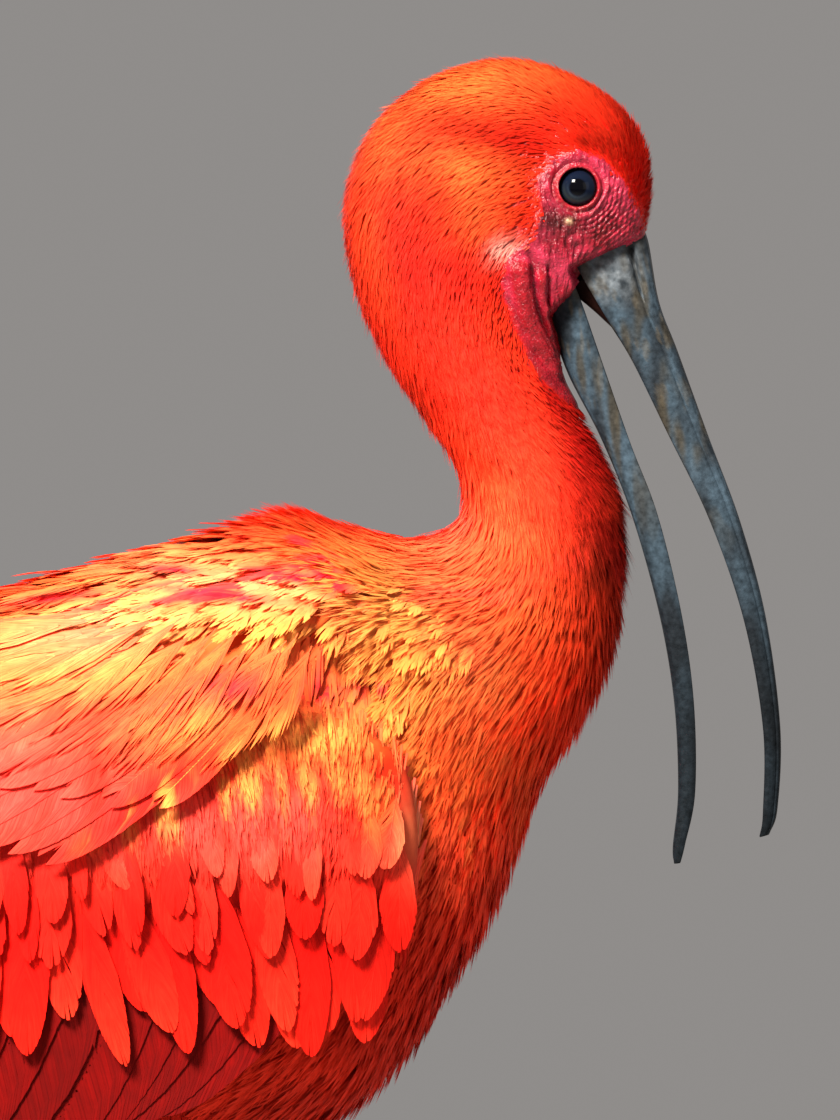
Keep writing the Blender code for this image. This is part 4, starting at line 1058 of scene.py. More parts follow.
# Outline of the folded arm, seen from the side: top x, z, bottom x, z, thickness
ARM_OUTLINE = np.array((
    (86.5, 258.0, 87.0, 250.0, 2.0),
    (82.5, 272.0, 84.5, 234.5, 6.5),
    (70.0, 283.0, 75.0, 227.5, 8.5),
    (50.0, 287.0, 58.0, 227.0, 9.0),
    (25.0, 284.0, 33.0, 228.0, 9.0),
    (0.0, 273.0, 8.0, 229.0, 8.5),
    (-20.0, 263.0, -12.0, 230.0, 6.5),
    (-42.0, 250.0, -36.0, 230.0, 2.2),
    (-70.0, 238.0, -64.0, 223.0, 0.8),
))
ARM_ROWS = catmull(ARM_OUTLINE, np.linspace(0, len(ARM_OUTLINE) - 1, 80))[::-1]
ARM_EDGE = np.concatenate((ARM_OUTLINE[:, 0:2], ARM_OUTLINE[::-1, 2:4]))


def arm_rise(x, z):
    """How far the covert-clad arm stands out from the wing's sheet at each place."""
    top = np.interp(x, ARM_ROWS[:, 0], ARM_ROWS[:, 1])
    low = np.interp(x, ARM_ROWS[:, 2], ARM_ROWS[:, 3])
    thick = np.interp(x, ARM_ROWS[:, 0], ARM_ROWS[:, 4]) * (x < 87.0)
    down = np.clip((top - z) / np.maximum(top - low, 1.0), 0.0, 1.0)
    return thick * np.sin(math.pi * np.clip(down, 0.0, 0.94)) ** 0.55


def arm_sheet(x, z):
    return wing_sheet(x, z) + arm_rise(x, z)


def tier(count, roots, angles, bend, lengths, widths, lift, rng, jitter=1.2):
    """Varied places of one row of feathers. angles are pairs of root x and angle."""
    f = np.linspace(0, 1, count) + rng.uniform(-0.25, 0.25, count) / count * min(1.0, jitter / 3)
    ends = np.array(roots, float)
    place = ends[0] + (ends[1] - ends[0]) * f[:, None]
    place[:, 1] += rng.uniform(-0.5, 0.5, count) * jitter
    turns = np.array(angles, float)
    angle = np.interp(place[:, 0], turns[:, 0], turns[:, 1]) + rng.uniform(-jitter, jitter, count)
    length = (lengths[0] + (lengths[1] - lengths[0]) * f) * (1 + rng.uniform(-0.02, 0.02, count) * jitter)
    width = (widths[0] + (widths[1] - widths[0]) * f) * (1 + rng.uniform(-0.03, 0.03, count) * jitter)
    lifts = np.tile(np.array(lift, float), (count, 1)) + rng.uniform(0, 0.12, (count, 2)) * jitter
    return place, angle, np.full(count, float(bend)), length, width, lifts


def vane_tint(count, kind, rng):
    """Factors at root and tip that vary the plumage from feather to feather. The secondaries' factors darken
    them as painted shade.
    """
    tone = 1 + 0.09 * rng.normal(size=(count, 1))
    root, tip = tone * (0.93, 0.36, 0.55), tone * (1.03, 1.05, 1.05)
    if kind == "covert":
        redder = 0.5 + 1.9 * rng.uniform(0, 1, (count, 1)) ** 2
        root, tip = root * (0.95, 1.0, 0.8), tip * np.hstack((redder * 0 + 1, redder, redder))
    # Painted shade: the secondaries are darkened as if in the coverts' shadow
    if kind == "flight":
        root, tip = root * (0.24, 0.08, 0.08), tip * (0.15, 0.04, 0.04)
    if kind == "primary":
        tip = np.tile(WING_BLACK, (count, 1))
    return root, tip


def shelf_homes(count):
    """A cell of the map for each large feather, and the cell's size."""
    columns = int(math.ceil(math.sqrt(count)))
    cell = MAP_SIZE / columns
    index = np.arange(count)
    return MAP_EDGE + cell * (np.stack((index % columns, index // columns), axis=1) + 0.5), cell * 0.9


def wing_feathers(name, rows, cut, sheet, side, rng, nodes, roll=0.09, kind=""):
    """One tract of large feathers on a sheet, from its rows."""
    joined = [np.concatenate([row[i] for row in rows]) for i in range(6)]
    roots, angle, bend, length, width, lifts = joined
    place = sheet_place(sheet, roots, angle, bend, length, lifts, roll, side)
    homes, patch = shelf_homes(len(length))
    coat_piece(name, cut, length, width, place, vane_tint(len(length), kind, rng), homes, rng,
               vane_finish, nodes, patch, painted=True)


# Lie of the feathers along the wing: root x, and degrees down from straight back
SECONDARY_TURNS = ((-40, 40), (-8, 66), (25, 66), (66, 50))
COVERT_TURNS = ((-30, 62), (-12, 92), (5, 102), (45, 97), (72, 86), (82, 76))


def make_wing(label, side):
    """Tiers of the folded wing, from the flight feathers up to the small coverts."""
    rng = np.random.default_rng(41)
    nodes = ("wing_" + label,)
    rows = [tier(7, ((-62, 231), (-42, 235)), ((-62, 21), (-42, 40)), 4, (116, 88), (15, 17),
                 (0.0, 0.6), rng, 0.4)]
    wing_feathers("primaries_" + label, rows, FLIGHT_CUT, wing_sheet, side, rng, nodes, kind="primary")
    rows = [tier(11, ((-40, 238), (68, 235)), SECONDARY_TURNS, -8, (84, 70), (26, 25), (2.2, 2.8), rng)]
    wing_feathers("secondaries_" + label, rows, FLIGHT_CUT, wing_sheet, side, rng, nodes, 0.13, "flight")
    rows = [tier(10, ((-24, 244), (74, 242)), COVERT_TURNS, 4, (42, 36), (19, 17), (3.4, 5.2), rng, 5.5),
            tier(11, ((-30, 243), (80, 241)), COVERT_TURNS, 4, (45, 38), (18, 16), (4.4, 6.8), rng, 6.5)]
    wing_feathers("greater_coverts_" + label, rows, COVERT_CUT, wing_sheet, side, rng, nodes, kind="covert")
    rows = [tier(15, ((-24, 250), (79, 250)), COVERT_TURNS, 2, (31, 26), (14, 12), (5.8, 7.6), rng, 8.5),
            tier(16, ((-18, 260), (80, 262)), COVERT_TURNS, 2, (27, 20), (11, 10), (7.2, 8.8), rng, 9.5)]
    wing_feathers("median_coverts_" + label, rows, MEDIAN_CUT, wing_sheet, side, rng, nodes, kind="covert")
    rows = [tier(5, ((-18, 256), (10, 267)), ((-18, 21), (10, 34)), -4, (104, 86), (22, 22),
                 (6.4, 6.2), rng)]
    wing_feathers("tertials_" + label, rows, FLIGHT_CUT, wing_sheet, side, rng, nodes)
    make_arm(label, side, nodes)
    make_lesser_coverts(label, side, nodes)


def make_arm(label, side, nodes):
    """The clad arm under the small coverts, moved from a sphere onto the flank."""
    def place(down, angle):
        row = catmull(ARM_OUTLINE, np.interp(down, (0, 1), (0.3, len(ARM_OUTLINE) - 1.3)))
        f = 0.06 + 0.9 * np.abs(angle) / math.pi
        x, z = row[:, 0] + (row[:, 2] - row[:, 0]) * f, row[:, 1] + (row[:, 3] - row[:, 1]) * f
        bulge = np.sin(math.pi * np.clip(f, 0.02, 0.98)) ** 0.55
        height = np.where(angle > 0, row[:, 4] * bulge - 1.4, -0.3)
        return sheet_point(wing_sheet, x, z, height) * (1, side, 1)
    finish_flesh(moulded("arm_" + label, 60, 90, place), nodes)


def make_lesser_coverts(label, side, nodes):
    """Small feathers rooted at chance places of the arm."""
    rng = np.random.default_rng(43)
    spacing, turn_noise = 1.5, 6.0
    x, z = (v.ravel() for v in np.meshgrid(np.arange(-34, 91, spacing), np.arange(232, 290, spacing)))
    x = x + rng.uniform(-0.5, 0.5, x.size) * spacing
    z = z + rng.uniform(-0.5, 0.5, z.size) * spacing
    top = np.interp(x, ARM_ROWS[:, 0], ARM_ROWS[:, 1])
    ragged = 6 * ripple(np.stack((x, 0 * x, z), axis=1), 9.0)
    inside = (polygon_depth(x, z, ARM_EDGE) > -2.4) & (z > np.minimum(top - 30, 258) + ragged)
    x, z, top = x[inside], z[inside], top[inside]
    count = len(x)
    roots = np.stack((x, z), axis=1)
    turns = np.array(COVERT_TURNS, float)
    varied = ripple(np.stack((x, 0 * x, z), axis=1), 12.0) + rng.normal(size=count)
    angle = np.interp(x, turns[:, 0], turns[:, 1]) + turn_noise * varied
    length = np.interp(top - z, (0, 30), (10.0, 18.0)) * rng.uniform(0.85, 1.15, count)
    raised = np.tile((-1.3, 0.4), (count, 1)) + rng.uniform(-0.3, 0.3, (count, 1))
    place = sheet_place(arm_sheet, roots, angle, np.zeros(count), length, raised, 0.05, side)
    homes = MAP_EDGE + MAP_SIZE * (roots - roots.min(axis=0)) / np.ptp(roots, axis=0)
    tints = vane_tint(count, "", rng)
    coat_piece("lesser_coverts_" + label, LESSER_CUT, length, length * 0.30, place, tints, homes, rng,
               coat_finish, nodes, painted=True)


def make_scapulars(label, side):
    """Long and short shoulder feathers, in two tiers each."""
    rng = np.random.default_rng(47)
    nodes = ("scapulars_" + label,)
    rows = [tier(10, ((-6, 297), (48, 289)), ((-6, 14), (30, 32), (48, 40)), -4, (104, 66), (23, 18),
                 (-1.2, 0.2), rng, 2.0),
            tier(11, ((0, 301), (52, 292)), ((0, 12), (30, 34), (52, 46)), -4, (82, 44), (19, 14),
                 (-0.4, 0.6), rng, 3.0)]
    wing_feathers(f"scapulars_{label}_long", rows, FLIGHT_CUT, scapular_sheet, side, rng, nodes)
    rows = [tier(17, ((-2, 302), (56, 293)), ((-2, 12), (30, 36), (56, 56)), -4, (64, 28), (12, 10),
                 (0.0, 0.8), rng, 7.0),
            tier(20, ((4, 305), (60, 297)), ((4, 12), (30, 40), (60, 62)), 0, (48, 22), (11, 9),
                 (0.4, 1.2), rng, 8.0)]
    wing_feathers(f"scapulars_{label}_short", rows, SHAGGY_CUT, scapular_sheet, side, rng, nodes)


def make_scapular_pad(label, side):
    """The flesh from which the shoulder feathers grow."""
    def place(down, angle):
        row = catmull(SCAPULAR_ROOTS, down * (len(SCAPULAR_ROOTS) - 1))
        f = np.abs(angle) / math.pi
        point, normal, _ = surface_frame(row[:, 0], np.radians(row[:, 1] + (row[:, 2] - row[:, 1]) * f))
        height = np.where(angle > 0, -4.0 + SCAPULAR_RISE * row[:, 3] * f ** 1.3, -4.2)
        return (point + normal * height[:, None]) * (1, side, 1)
    finish_flesh(moulded("scapular_pad_" + label, 40, 60, place), ("scapulars_" + label,))


# Tail
RUMP_MIDDLE = np.array((-113.3, 0.0, 245.8))
TAIL_LENGTH = 69.0
TAIL_DROOP = math.radians(20)
RUMP_SHAPE = np.array(((-3.0, 0.97), (0.6, 0.97), (10.0, 0.84), (22.0, 0.6), (34.0, 0.36), (42.0, 0.2)))


def tail_axes(droop):
    """Backward and upward directions of the tail at each droop."""
    return (np.stack((-np.cos(droop), 0 * droop, -np.sin(droop)), axis=-1),
            np.stack((-np.sin(droop), 0 * droop, np.cos(droop)), axis=-1))


def tail_feathers(name, rows, cut, rng):
    """One tract of the tail. rows: back, out and up from the rump's middle, degrees of fan, degrees
    steeper, length, width, lean and arch."""
    along, out, high, fan, steeper, lengths, widths, lean, arch = np.array(rows, float).T
    back, up = tail_axes(TAIL_DROOP)
    start = RUMP_MIDDLE + np.outer(along, back) + np.outer(high, up)
    start[:, 1] += out
    back, up = tail_axes(TAIL_DROOP + np.radians(steeper))
    aside = np.array((0.0, 1.0, 0.0))
    turn = np.radians(fan)[:, None]
    ahead, beside = back * np.cos(turn) + aside * np.sin(turn), aside * np.cos(turn) - back * np.sin(turn)
    facing = np.sign(high + 20 * (cut is FLIGHT_CUT))

    def place(along, across, height):
        y = (start[:, 1, None] + ahead[:, 1, None] * along + beside[:, 1, None] * across)
        drop = arch[:, None] * y ** 2 + lean[:, None] * across
        return laid(start, ahead, beside, up, along, across, height * facing[:, None] - drop)
    tips = np.tile(SCARLET, (len(along), 1))
    homes, patch = shelf_homes(len(tips))
    coat_piece(name, cut, lengths, widths, place, (tips * 0.8, tips), homes, rng, vane_finish, ("tail",),
               patch)


def make_tail():
    """Tail feathers, their coverts above and below, and the rump's flesh."""
    rng = np.random.default_rng(53)
    rows = []
    for f in (np.arange(12) - 5.5) / 5.5:
        level = 2.8 - 5.6 * abs(f) + (0.5 if f > 0 else 0.0)
        rows.append((22.0, 6.0 * f, level, 21 * f, 0, TAIL_LENGTH - 22.0 - 2 * abs(f), 18, 0.0, 0.003))
    tail_feathers("tail_feathers", rows, FLIGHT_CUT, rng)
    rows = []
    for layer, (along, high, reach) in enumerate(((9.0, 14.5, 39.0), (4.0, 17.5, 33.0), (-2.0, 20.0, 28.0))):
        for f in np.linspace(-1, 1, 5 + layer):
            lean, low, wide = 0.09 * np.sign(f), 4.0 * abs(f), 14 - layer
            rows.append((along, 10.0 * f, high - low, 9 * f, 17, reach, wide, lean, 0.01))
            rows.append((along, 9.0 * f, 1.0 - high + low, 9 * f, -17, reach, wide, -lean, -0.01))
    tail_feathers("tail_coverts", rows, MEDIAN_CUT, rng)

    def place(down, angle):
        ring = outer_surface(np.full(len(down), RUMP_END), angle)
        along = np.interp(down, (0, 1), (-6.0, 41.0))
        size = np.interp(along, RUMP_SHAPE[:, 0], RUMP_SHAPE[:, 1]) * 0.9
        size = size * np.minimum(1, np.minimum(down, 1 - down) * 12) ** 0.5
        return RUMP_MIDDLE + (ring - RUMP_MIDDLE) * size[:, None] + along[:, None] * tail_axes(TAIL_DROOP)[0]
    finish_flesh(moulded("rump", 48, 50, place), ("tail",))


# The two halves of the bill, seen from the side: outer edge x, z, cutting edge x, z, half width
UPPER_BILL = np.array((
    (142.3, 405.0, 124.5, 396.5, 7.2),
    (144.6, 399.5, 127.5, 391.0, 7.6),
    (147.3, 384.5, 133.8, 380.5, 6.6),
    (152.0, 372.0, 140.3, 370.0, 5.2),
    (159.6, 351.0, 149.4, 351.5, 4.1),
    (167.6, 329.5, 159.8, 330.0, 3.4),
    (174.0, 305.5, 168.4, 305.0, 3.0),
    (177.6, 278.0, 173.2, 278.0, 2.6),
    (176.9, 258.0, 173.2, 257.0, 2.2),
    (174.8, 251.3, 172.3, 250.6, 1.5),
))
LOWER_BILL = np.array((
    (118.6, 385.5, 124.6, 391.5, 5.4),
    (120.0, 379.3, 127.3, 386.0, 5.8),
    (124.6, 366.3, 132.7, 370.5, 5.0),
    (132.8, 350.3, 140.0, 349.5, 3.9),
    (140.5, 331.0, 147.0, 331.0, 3.2),
    (147.3, 306.5, 153.0, 306.0, 2.7),
    (151.0, 284.5, 156.0, 284.0, 2.4),
    (152.0, 262.5, 156.3, 262.0, 2.1),
    (150.7, 248.5, 153.8, 249.0, 1.6),
    (151.0, 244.0, 152.6, 244.2, 0.9),
))
# Half a section: place round it, share of the way to the cutting edge, share of the half width
UPPER_SECTION = np.array((
    (0.0, 0.0, 0.0), (0.1, 0.03, 0.36), (0.2, 0.12, 0.62), (0.28, 0.2, 0.7), (0.33, 0.27, 0.66),
    (0.38, 0.33, 0.76), (0.46, 0.5, 0.94), (0.58, 0.72, 1.0), (0.7, 0.92, 0.95), (0.76, 1.0, 0.84),
    (0.82, 0.93, 0.62), (0.9, 0.87, 0.3), (1.0, 0.85, 0.0),
))
LOWER_SECTION = np.array((
    (0.0, 0.0, 0.0), (0.12, 0.04, 0.4), (0.28, 0.2, 0.75), (0.45, 0.5, 0.96), (0.62, 0.8, 0.98),
    (0.72, 1.0, 0.84), (0.8, 0.9, 0.6), (0.9, 0.85, 0.3), (1.0, 0.83, 0.0),
))
# How far the roof of the mouth bulges down near the face
PALATE_DROP = 0.5
# Near black inside the mouth near the face: painted shade
PAINTED_MOUTH_SHADE = np.array((0.016, 0.006, 0.005))


def bill_groove(f, q):
    """What the nostril, the groove and the edge of the horn change in the upper half's width."""
    slit = blend_step(0.09, 0.11, f) * (1 - blend_step(0.19, 0.22, f)) * np.exp(-((q - 0.325) / 0.03) ** 2)
    groove = np.exp(-((q - 0.33) / 0.022) ** 2) * blend_step(0.05, 0.1, f)
    step = 0.03 * (1 - blend_step(0.085, 0.095, f - 0.02 * np.sin(q * 9)))
    return step * (q > 0.35) * (q < 0.74) - 0.3 * slit - 0.07 * groove


def bill_colour(points, turn, upper):
    """Dark slate, browner and patchy near the face, with a pale chipped plate at its root whose silver is
    partly a painted sheen, and painted shade inside the mouth.
    """
    down = np.interp(points[:, 2], (250, 400), (1.0, 0.0))
    long = points * (1.0, 1.0, 0.35)
    scaly, patch, blotch = ripple(points, 1.1), ripple(long + 31.0, 2.6), ripple(long - 12.0, 1.3)
    slate = np.tile(BILL_SLATE, (len(points), 1))
    slate = mix(slate, BILL_BLUE, blend_step(-0.5, 0.6, ripple(long + 9.0, 3.5)))
    slate = mix(slate, BILL_BROWN, 0.75 * blend_step(0.0, 0.6, patch) * (1 - blend_step(0.3, 0.6, down)))
    slate = mix(slate, BILL_TAN, 0.4 * blend_step(0.3, 0.7, blotch) * (1 - blend_step(0.1, 0.45, down)))
    chipped = down + 0.012 * blotch + 0.02 * ripple(points, 3.0) - 0.003 * (points[:, 0] - 130)
    # Silver at the bill's root: a pale chipped plate, partly a painted sheen
    sheen = (1 - blend_step(0.085, 0.10, chipped)) * spot(points, 136, 392, 7, 6, 20)
    slate = mix(slate, BILL_SILVER, (0.75 if upper else 0.3) * sheen * np.clip(0.6 + 0.5 * scaly, 0, 1))
    slate = mix(slate, BILL_SLATE * 0.25, 0.9 * blend_step(0.35, 0.85, down))
    # Painted shade inside the mouth along the cutting edges near the face
    return mix(slate, PAINTED_MOUTH_SHADE, blend_step(0.76, 0.84, turn) * (1 - blend_step(0.35, 0.6, down)))


def make_bill(name, stations, section, upper):
    """One half of the bill, moved from a sphere along its stations."""
    def place(down, angle):
        f = np.clip((down - 0.004) / 0.992, 0, 1) ** 1.15
        row = catmull(stations, f * (len(stations) - 1))
        q = np.abs(angle) / math.pi
        share, wide = (np.interp(q, section[:, 0], section[:, i]) for i in (1, 2))
        share = share + PALATE_DROP * upper * blend_step(0.8, 0.95, q) * (1 - blend_step(0.03, 0.36, f))
        if upper:
            wide = wide + bill_groove(f, q)
        x, z = row[:, 0] + (row[:, 2] - row[:, 0]) * share, row[:, 1] + (row[:, 3] - row[:, 1]) * share
        point = np.stack((x, np.sign(angle) * wide * row[:, 4], z), axis=1)
        cap = np.clip(np.minimum(down, 1 - down) / 0.006, 0, 1) ** 0.5
        return halfway(row) + (point - halfway(row)) * cap[:, None]
    obj = moulded(name, 80, 200, place)
    turn = np.array([v.value for v in obj.data.attributes["turn"].data])
    paint(obj, bill_colour(own_points(obj), turn, upper))
    finish_piece(obj, bill_finish, (name,))


# How far out the middle of each eye lies, so that it fills its opening
HEAD_STEPS, HEAD_ANGLES = np.meshgrid(np.linspace(0.3, HEAD_END, 120), np.linspace(0.2, math.pi - 0.2, 80))
HEAD_POINTS = outer_surface(HEAD_STEPS.ravel(), HEAD_ANGLES.ravel())
FROM_EYE = np.hypot(HEAD_POINTS[:, 0] - EYE_PLACE[0], HEAD_POINTS[:, 2] - EYE_PLACE[1])
EYE_DEPTH = (HEAD_POINTS[np.argmin(FROM_EYE), 1]
             - math.sqrt(EYE_RADIUS ** 2 - EYE_OPENING_RADIUS ** 2) - 0.1)
# Colours of the eye, from the outside of the iris inwards; the grey and the paler blue are painted light low
# on the iris
EYE_BLUE = np.array((0.004, 0.007, 0.018))
IRIS_GREY = np.array((0.020, 0.026, 0.026))
IRIS_BLUE = np.array((0.02, 0.03, 0.04))
PUPIL_BLACK = np.array((0.001, 0.001, 0.002))
EYE_RIM_BLACK = np.array((0.001, 0.001, 0.001))


def make_eye(label, side):
    """A dark glossy eyeball with a bulging cornea."""
    x, z = EYE_PLACE

    def place(down, angle):
        out, ring = np.cos(down * math.pi), np.sin(down * math.pi)
        bulge = 1.0 + 0.05 * np.exp(-(ring * EYE_RADIUS / 3.4) ** 4) * (out > 0)
        return np.stack((x + EYE_RADIUS * ring * np.cos(angle),
                         side * (EYE_DEPTH + EYE_RADIUS * out * bulge),
                         z + EYE_RADIUS * ring * np.sin(angle)), axis=1)
    obj = moulded("eye_" + label, 48, 60, place)
    dx, _, dz = (own_points(obj) - (x, 0, z)).T
    ring, turn = np.hypot(dx, dz), np.arctan2(dz, dx)
    # Painted light: a lighter grey and blue crescent low on the iris
    low = np.clip(-np.cos(turn - 1.1), 0, 1)
    iris = np.tile(EYE_BLUE, (len(ring), 1))
    iris = mix(iris, IRIS_GREY, np.exp(-((ring - 3.5) / 0.45) ** 2) * low)
    iris = mix(iris, IRIS_BLUE, np.exp(-((ring - 2.6) / 0.2) ** 2) * low)
    iris = mix(iris, PUPIL_BLACK, 1 - blend_step(1.9, 2.4, ring))
    paint(obj, mix(iris, EYE_RIM_BLACK, blend_step(4.0, 4.4, ring)))
    finish_piece(obj, eye_finish, ("eye_" + label,))


# Legs
TARSUS_TOP = 98.0
TARSUS_FOOT = 7.0
STANCE_HALF_WIDTH = 23.0
FOOT_X = 8.0
ANKLE_BACK = 9.0
TOES = (("inner", -24.0, 36.0, 2.9), ("middle", 0.0, 48.0, 3.1), ("outer", 30.0, 40.0, 2.9),
        ("hind", 172.0, 19.0, 2.5))


def around_path(path, steps, angle, probe):
    """Middle, direction along and direction outwards at each place round a path."""
    ahead = unit(catmull(path, steps + probe) - catmull(path, steps - probe))
    across = unit(np.cross(ahead, (0.0, 1.0, 0.0)))
    out = np.cross(across, ahead)
    return catmull(path, steps), ahead, across * np.cos(angle)[:, None] + out * np.sin(angle)[:, None]


def tube_piece(name, path, radii, side, around=32, rings=60, floor=None, relief=None):
    """A closed tapering tube along a path, moved from a sphere."""
    path, radii = np.array(path, float), np.array(radii, float)

    def place(down, angle):
        steps = down * (len(path) - 1)
        middle, _, out = around_path(path, steps, angle, 0.02)
        size = catmull(radii[:, None], steps)[:, 0]
        size = size * np.clip(np.minimum(down, 1 - down) / 0.02, 0, 1) ** 0.5
        if relief is not None:
            size = size + relief(down, angle) * (size > 0.5)
        point = middle + out * size[:, None]
        if floor is not None:
            point[:, 2] = np.maximum(point[:, 2], floor)
        return point * (1, side, 1)
    return moulded(name, around, rings, place)


def scutes(rows, height):
    """Overlapping horn plates along the front of a leg or the top of a toe."""
    def relief(down, angle):
        saw = np.mod(down * rows, 1.0)
        return height * (saw - 0.5) * (1 + 0.3 * np.cos(angle))
    return relief


def join(objects, name):
    """One smooth mesh from several closed ones."""
    bm = bmesh.new()
    for obj in objects:
        bm.from_mesh(obj.data)
        bpy.data.objects.remove(obj)
    mesh = bpy.data.meshes.new(name)
    bm.to_mesh(mesh)
    bm.free()
    mesh.polygons.foreach_set("use_smooth", np.ones(len(mesh.polygons), bool))
    return linked(name, mesh)


def between(a, b, shares):
    return [a + (b - a) * f for f in shares]


def make_thigh(label, side, path):
    """The clad thigh and its short feathers."""
    nodes = ("thigh_" + label,)
    radii = np.array((15, 18, 17, 13, 9, 6.2, 4.6))
    finish_flesh(tube_piece("thigh_skin_" + label, path, radii * 0.86, side, 36, 40), nodes)
    rng = np.random.default_rng(61)
    count = 620
    steps, around = rng.uniform(0.6, 5.9, count), rng.uniform(-math.pi, math.pi, count)
    middle, ahead, out = around_path(path, steps, around, 0.05)
    root = middle + out * catmull(radii[:, None], steps) * 0.84
    beside = np.cross(out, ahead)
    length = np.interp(steps, (0, 6), (17, 9)) * rng.uniform(0.85, 1.15, count)

    def place(along, across, height):
        return laid(root, ahead, beside, out, along, across, height + 0.10 * along) * (1, side, 1)
    base = plumage(root)
    homes = MAP_EDGE + MAP_SIZE * np.stack((around / (2 * math.pi) + 0.5, steps / 6), axis=1)
    coat_piece("coat_thigh_" + label, BODY_CUT, length, length * 0.45, place, (base * 0.7, base), homes, rng,
               coat_finish, nodes)


def make_foot(label, side, heel):
    """Ankle, toes and webs as one piece, and the four claws."""
    base = np.array((heel[0], heel[1], 0.0))
    parts = [tube_piece("ankle", [base + (0, 0, h) for h in (0.0, 2.5, 5.0, 7.0)],
                        (4.4, 4.6, 4.2, 3.8), side, 32, 24, 0.0)]
    shares = np.linspace(0, 1, 10)
    for name, turn, reach, radius in TOES:
        forward = np.array((math.cos(math.radians(turn)), math.sin(math.radians(turn)), 0.0))
        sizes = radius * (1 - 0.38 * shares) * (1 + 0.1 * np.sin(shares * 3.0 * 2 * math.pi))
        path = base + np.outer(shares * reach, forward) + np.outer(sizes, (0, 0, 0.8))
        parts.append(tube_piece("toe", path, sizes, side, 24, 70, 0.0, scutes(int(reach / 2), 0.15)))
        tip = base + forward * (reach + 0.35)
        path = [tip + forward * d + (0, 0, h) for d, h in ((-1.0, 1.7), (2.5, 2.3), (5.5, 1.9), (8.5, 0.75))]
        claw = tube_piece(f"claw_{label}_{name}", path, (1.55, 1.35, 0.95, 0.35), side, 20, 30, 0.15)
        finish_piece(claw, claw_finish, (f"claw_{label}_{name}",))
    parts += [web_piece(heel, turn, side) for turn in (-12.0, 15.0)]
    finish_piece(join(parts, "foot_" + label), leg_finish, ("foot_" + label,))


def make_leg(label, side):
    """Thigh, shank, tarsus and foot of one straight leg."""
    y = STANCE_HALF_WIDTH
    hip, knee = np.array((FOOT_X + 12, y - 11, 205.0)), np.array((FOOT_X + 8, y - 2, 172.0))
    cuff, ankle = np.array((FOOT_X - 2, y, 128.0)), np.array((FOOT_X - ANKLE_BACK, y, TARSUS_TOP))
    heel = np.array((FOOT_X - 1, y, TARSUS_FOOT))
    make_thigh(label, side, np.array([hip, (hip + knee) / 2] + between(knee, cuff, (0, 0.3, 0.6, 0.85, 1))))
    for name, start, end, shares, radii, rings, rows, height in (
            ("shank_", cuff, ankle, (-0.1, 0.2, 0.55, 0.8, 0.93, 1.06),
             (3.3, 3.2, 3.2, 3.9, 4.6, 4.6), 90, 22, 0.18),
            ("tarsus_", ankle, heel, (-0.02, 0.04, 0.1, 0.2, 0.5, 0.85, 0.96, 1.02),
             (4.4, 4.7, 4.2, 3.1, 2.8, 3.0, 3.6, 3.6), 160, 44, 0.2)):
        bone = tube_piece(name + label, between(start, end, shares), radii, side, 32, rings,
                          relief=scutes(rows, height))
        finish_piece(bone, leg_finish, (name + label,))
    make_foot(label, side, heel)


def web_piece(heel, turn, side):
    """The small skin web between two front toes."""
    reach, spread = 17.0, math.radians(15)

    def place(down, angle):
        out = np.sin(down * math.pi)
        way = math.radians(turn) + spread * np.sin(angle) * out
        far = reach * (0.5 + 0.5 * np.cos(angle) * out) * (1 - 0.2 * np.cos(way - math.radians(turn)) ** 8)
        return np.stack((heel[0] + far * np.cos(way), side * (heel[1] + far * np.sin(way)),
                         1.2 + 0.55 * np.cos(down * math.pi)), axis=1)
    return moulded("web", 24, 12, place)


def make_camera():
    """Level telephoto view of the photo's framing: 210 by 280 mm round (87.5, 320)."""
    distance, tall, sensor = 4.0, 0.28, 36.0
    camera = bpy.data.cameras.new("camera")
    camera.sensor_fit = "VERTICAL"
    camera.sensor_height = sensor
    camera.lens = sensor * distance / tall
    camera.clip_end = 50.0
    obj = linked("camera", camera)
    obj.location = (0.0875, -distance, 0.32)
    obj.rotation_euler = (math.radians(90), 0, 0)
    bpy.context.scene.camera = obj


def area_light(name, place, size, power, colour, spread):
    """A square light that looks at the bird's breast."""
    light = bpy.data.lights.new(name, "AREA")
    light.spread = math.radians(spread)
    light.size = size
    light.energy = power
    light.color = colour
    obj = linked(name, light)
    obj.location = place
    obj.rotation_euler = (Vector((0.06, 0.0, 0.3)) - Vector(place)).to_track_quat("-Z", "Y").to_euler()


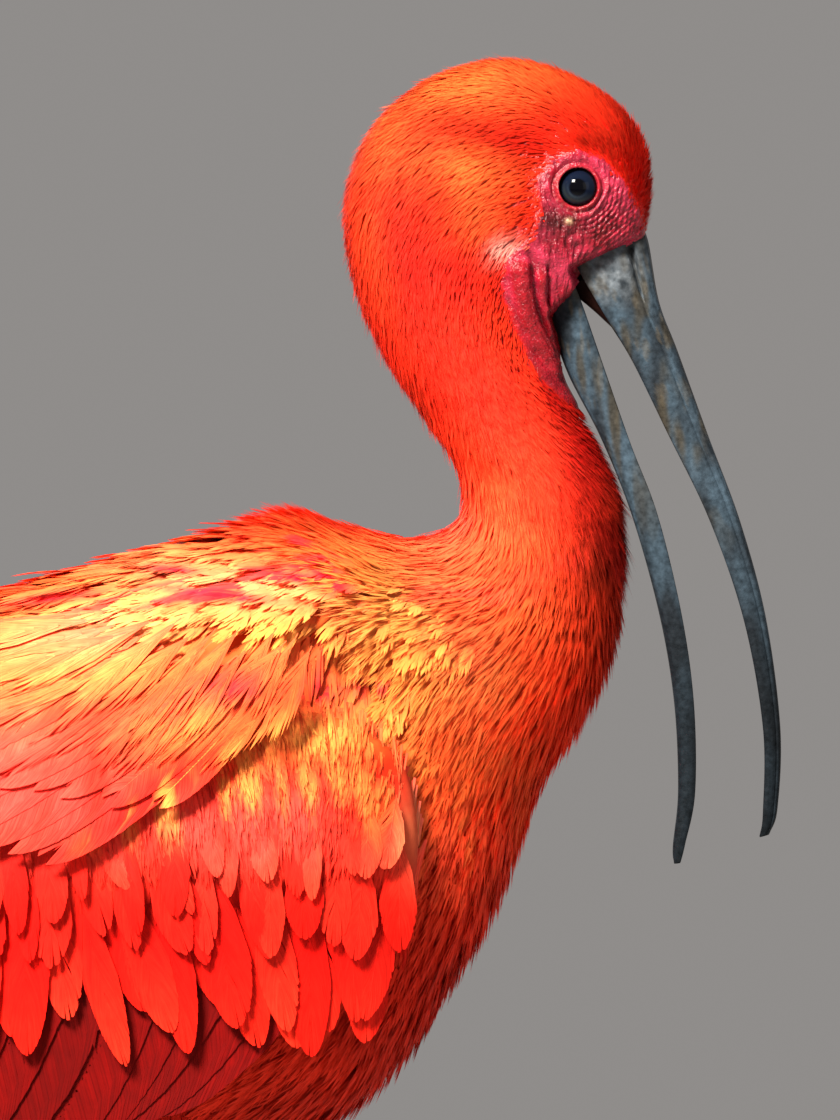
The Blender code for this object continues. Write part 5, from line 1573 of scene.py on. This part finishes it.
def make_stage():
    """Pale floor, dim world, and key, fill and rim lights."""
    bm = bmesh.new()
    bmesh.ops.create_circle(bm, cap_ends=True, segments=96, radius=2.5)
    mesh = bpy.data.meshes.new("floor")
    bm.to_mesh(mesh)
    bm.free()
    floor = linked("floor", mesh)
    pale, _, shader = shader_of("pale_floor", 0.7, 0.5)
    shader.inputs["Base Color"].default_value = (0.40, 0.40, 0.39, 1)
    mesh.materials.append(pale)
    world = bpy.data.worlds.new("studio")
    bpy.context.scene.world = world
    world.use_nodes = True
    backing = world.node_tree.nodes["Background"]
    backing.inputs["Color"].default_value = (0.66, 0.63, 0.61, 1)
    backing.inputs["Strength"].default_value = 0.42
    area_light("key", (-0.9, -1.9, 1.95), 0.7, 13.8, (1.0, 0.95, 0.86), 40.0)
    area_light("fill", (1.6, -1.4, 0.7), 1.4, 0.9, (1.0, 0.96, 0.92), 70.0)
    area_light("rim", (-0.8, 1.5, 1.2), 0.8, 2.2, (1.0, 0.97, 0.92), 60.0)
    bpy.context.scene.view_settings.view_transform = "Standard"


def horn_finish():
    """Bill: tint of the place with fine scratches and pits."""
    finish, tree, shader = shader_of("bill_finish", 0.36, 0.08)
    darker = ramp(tree, noise(tree, 700.0, 4.0), 0.25, (0.5, 0.5, 0.5), 0.75, (1.5, 1.5, 1.5))
    feed(tree, shader.inputs["Base Color"],
         blend_colours(tree, "MULTIPLY", 1.0, attribute(tree, "tint"), darker))
    bump(tree, shader, noise(tree, 1400.0), 0.35, 0.0003)
    return finish


def wet_finish():
    """Glossy eye, in the tint of the place."""
    finish, tree, shader = shader_of("eye_finish", 0.03, 0.16)
    feed(tree, shader.inputs["Base Color"], attribute(tree, "tint"))
    return finish


def mottled_finish(name, dark, light, roughness):
    """Horn and leg skin: two tones in small patches."""
    finish, tree, shader = shader_of(name, roughness, 0.5)
    patches = noise(tree, 420.0, 4.0)
    feed(tree, shader.inputs["Base Color"], ramp(tree, patches, 0.3, dark, 0.7, light))
    bump(tree, shader, patches, 0.4, 0.0003)
    return finish


coat_finish = feather_finish("scarlet_coat_finish", 0.10)
vane_finish = feather_finish("scarlet_vane_finish", 0.13, True)
under_finish = feather_finish("under_feather_finish", 0.0)
bill_finish = horn_finish()
eye_finish = wet_finish()
leg_finish = mottled_finish("leg_finish", (0.42, 0.06, 0.06), (0.66, 0.16, 0.13), 0.45)
claw_finish = mottled_finish("claw_finish", (0.03, 0.025, 0.025), (0.07, 0.06, 0.055), 0.35)

make_camera()
make_stage()
make_skin()
make_head_coat()
make_body_coat()
for label, side in (("left", 1.0), ("right", -1.0)):
    make_wing(label, side)
    make_scapulars(label, side)
    make_scapular_pad(label, side)
    make_eye(label, side)
    make_leg(label, side)
make_tail()
make_bill("bill_upper", UPPER_BILL, UPPER_SECTION, True)
make_bill("bill_lower", LOWER_BILL, LOWER_SECTION, False)
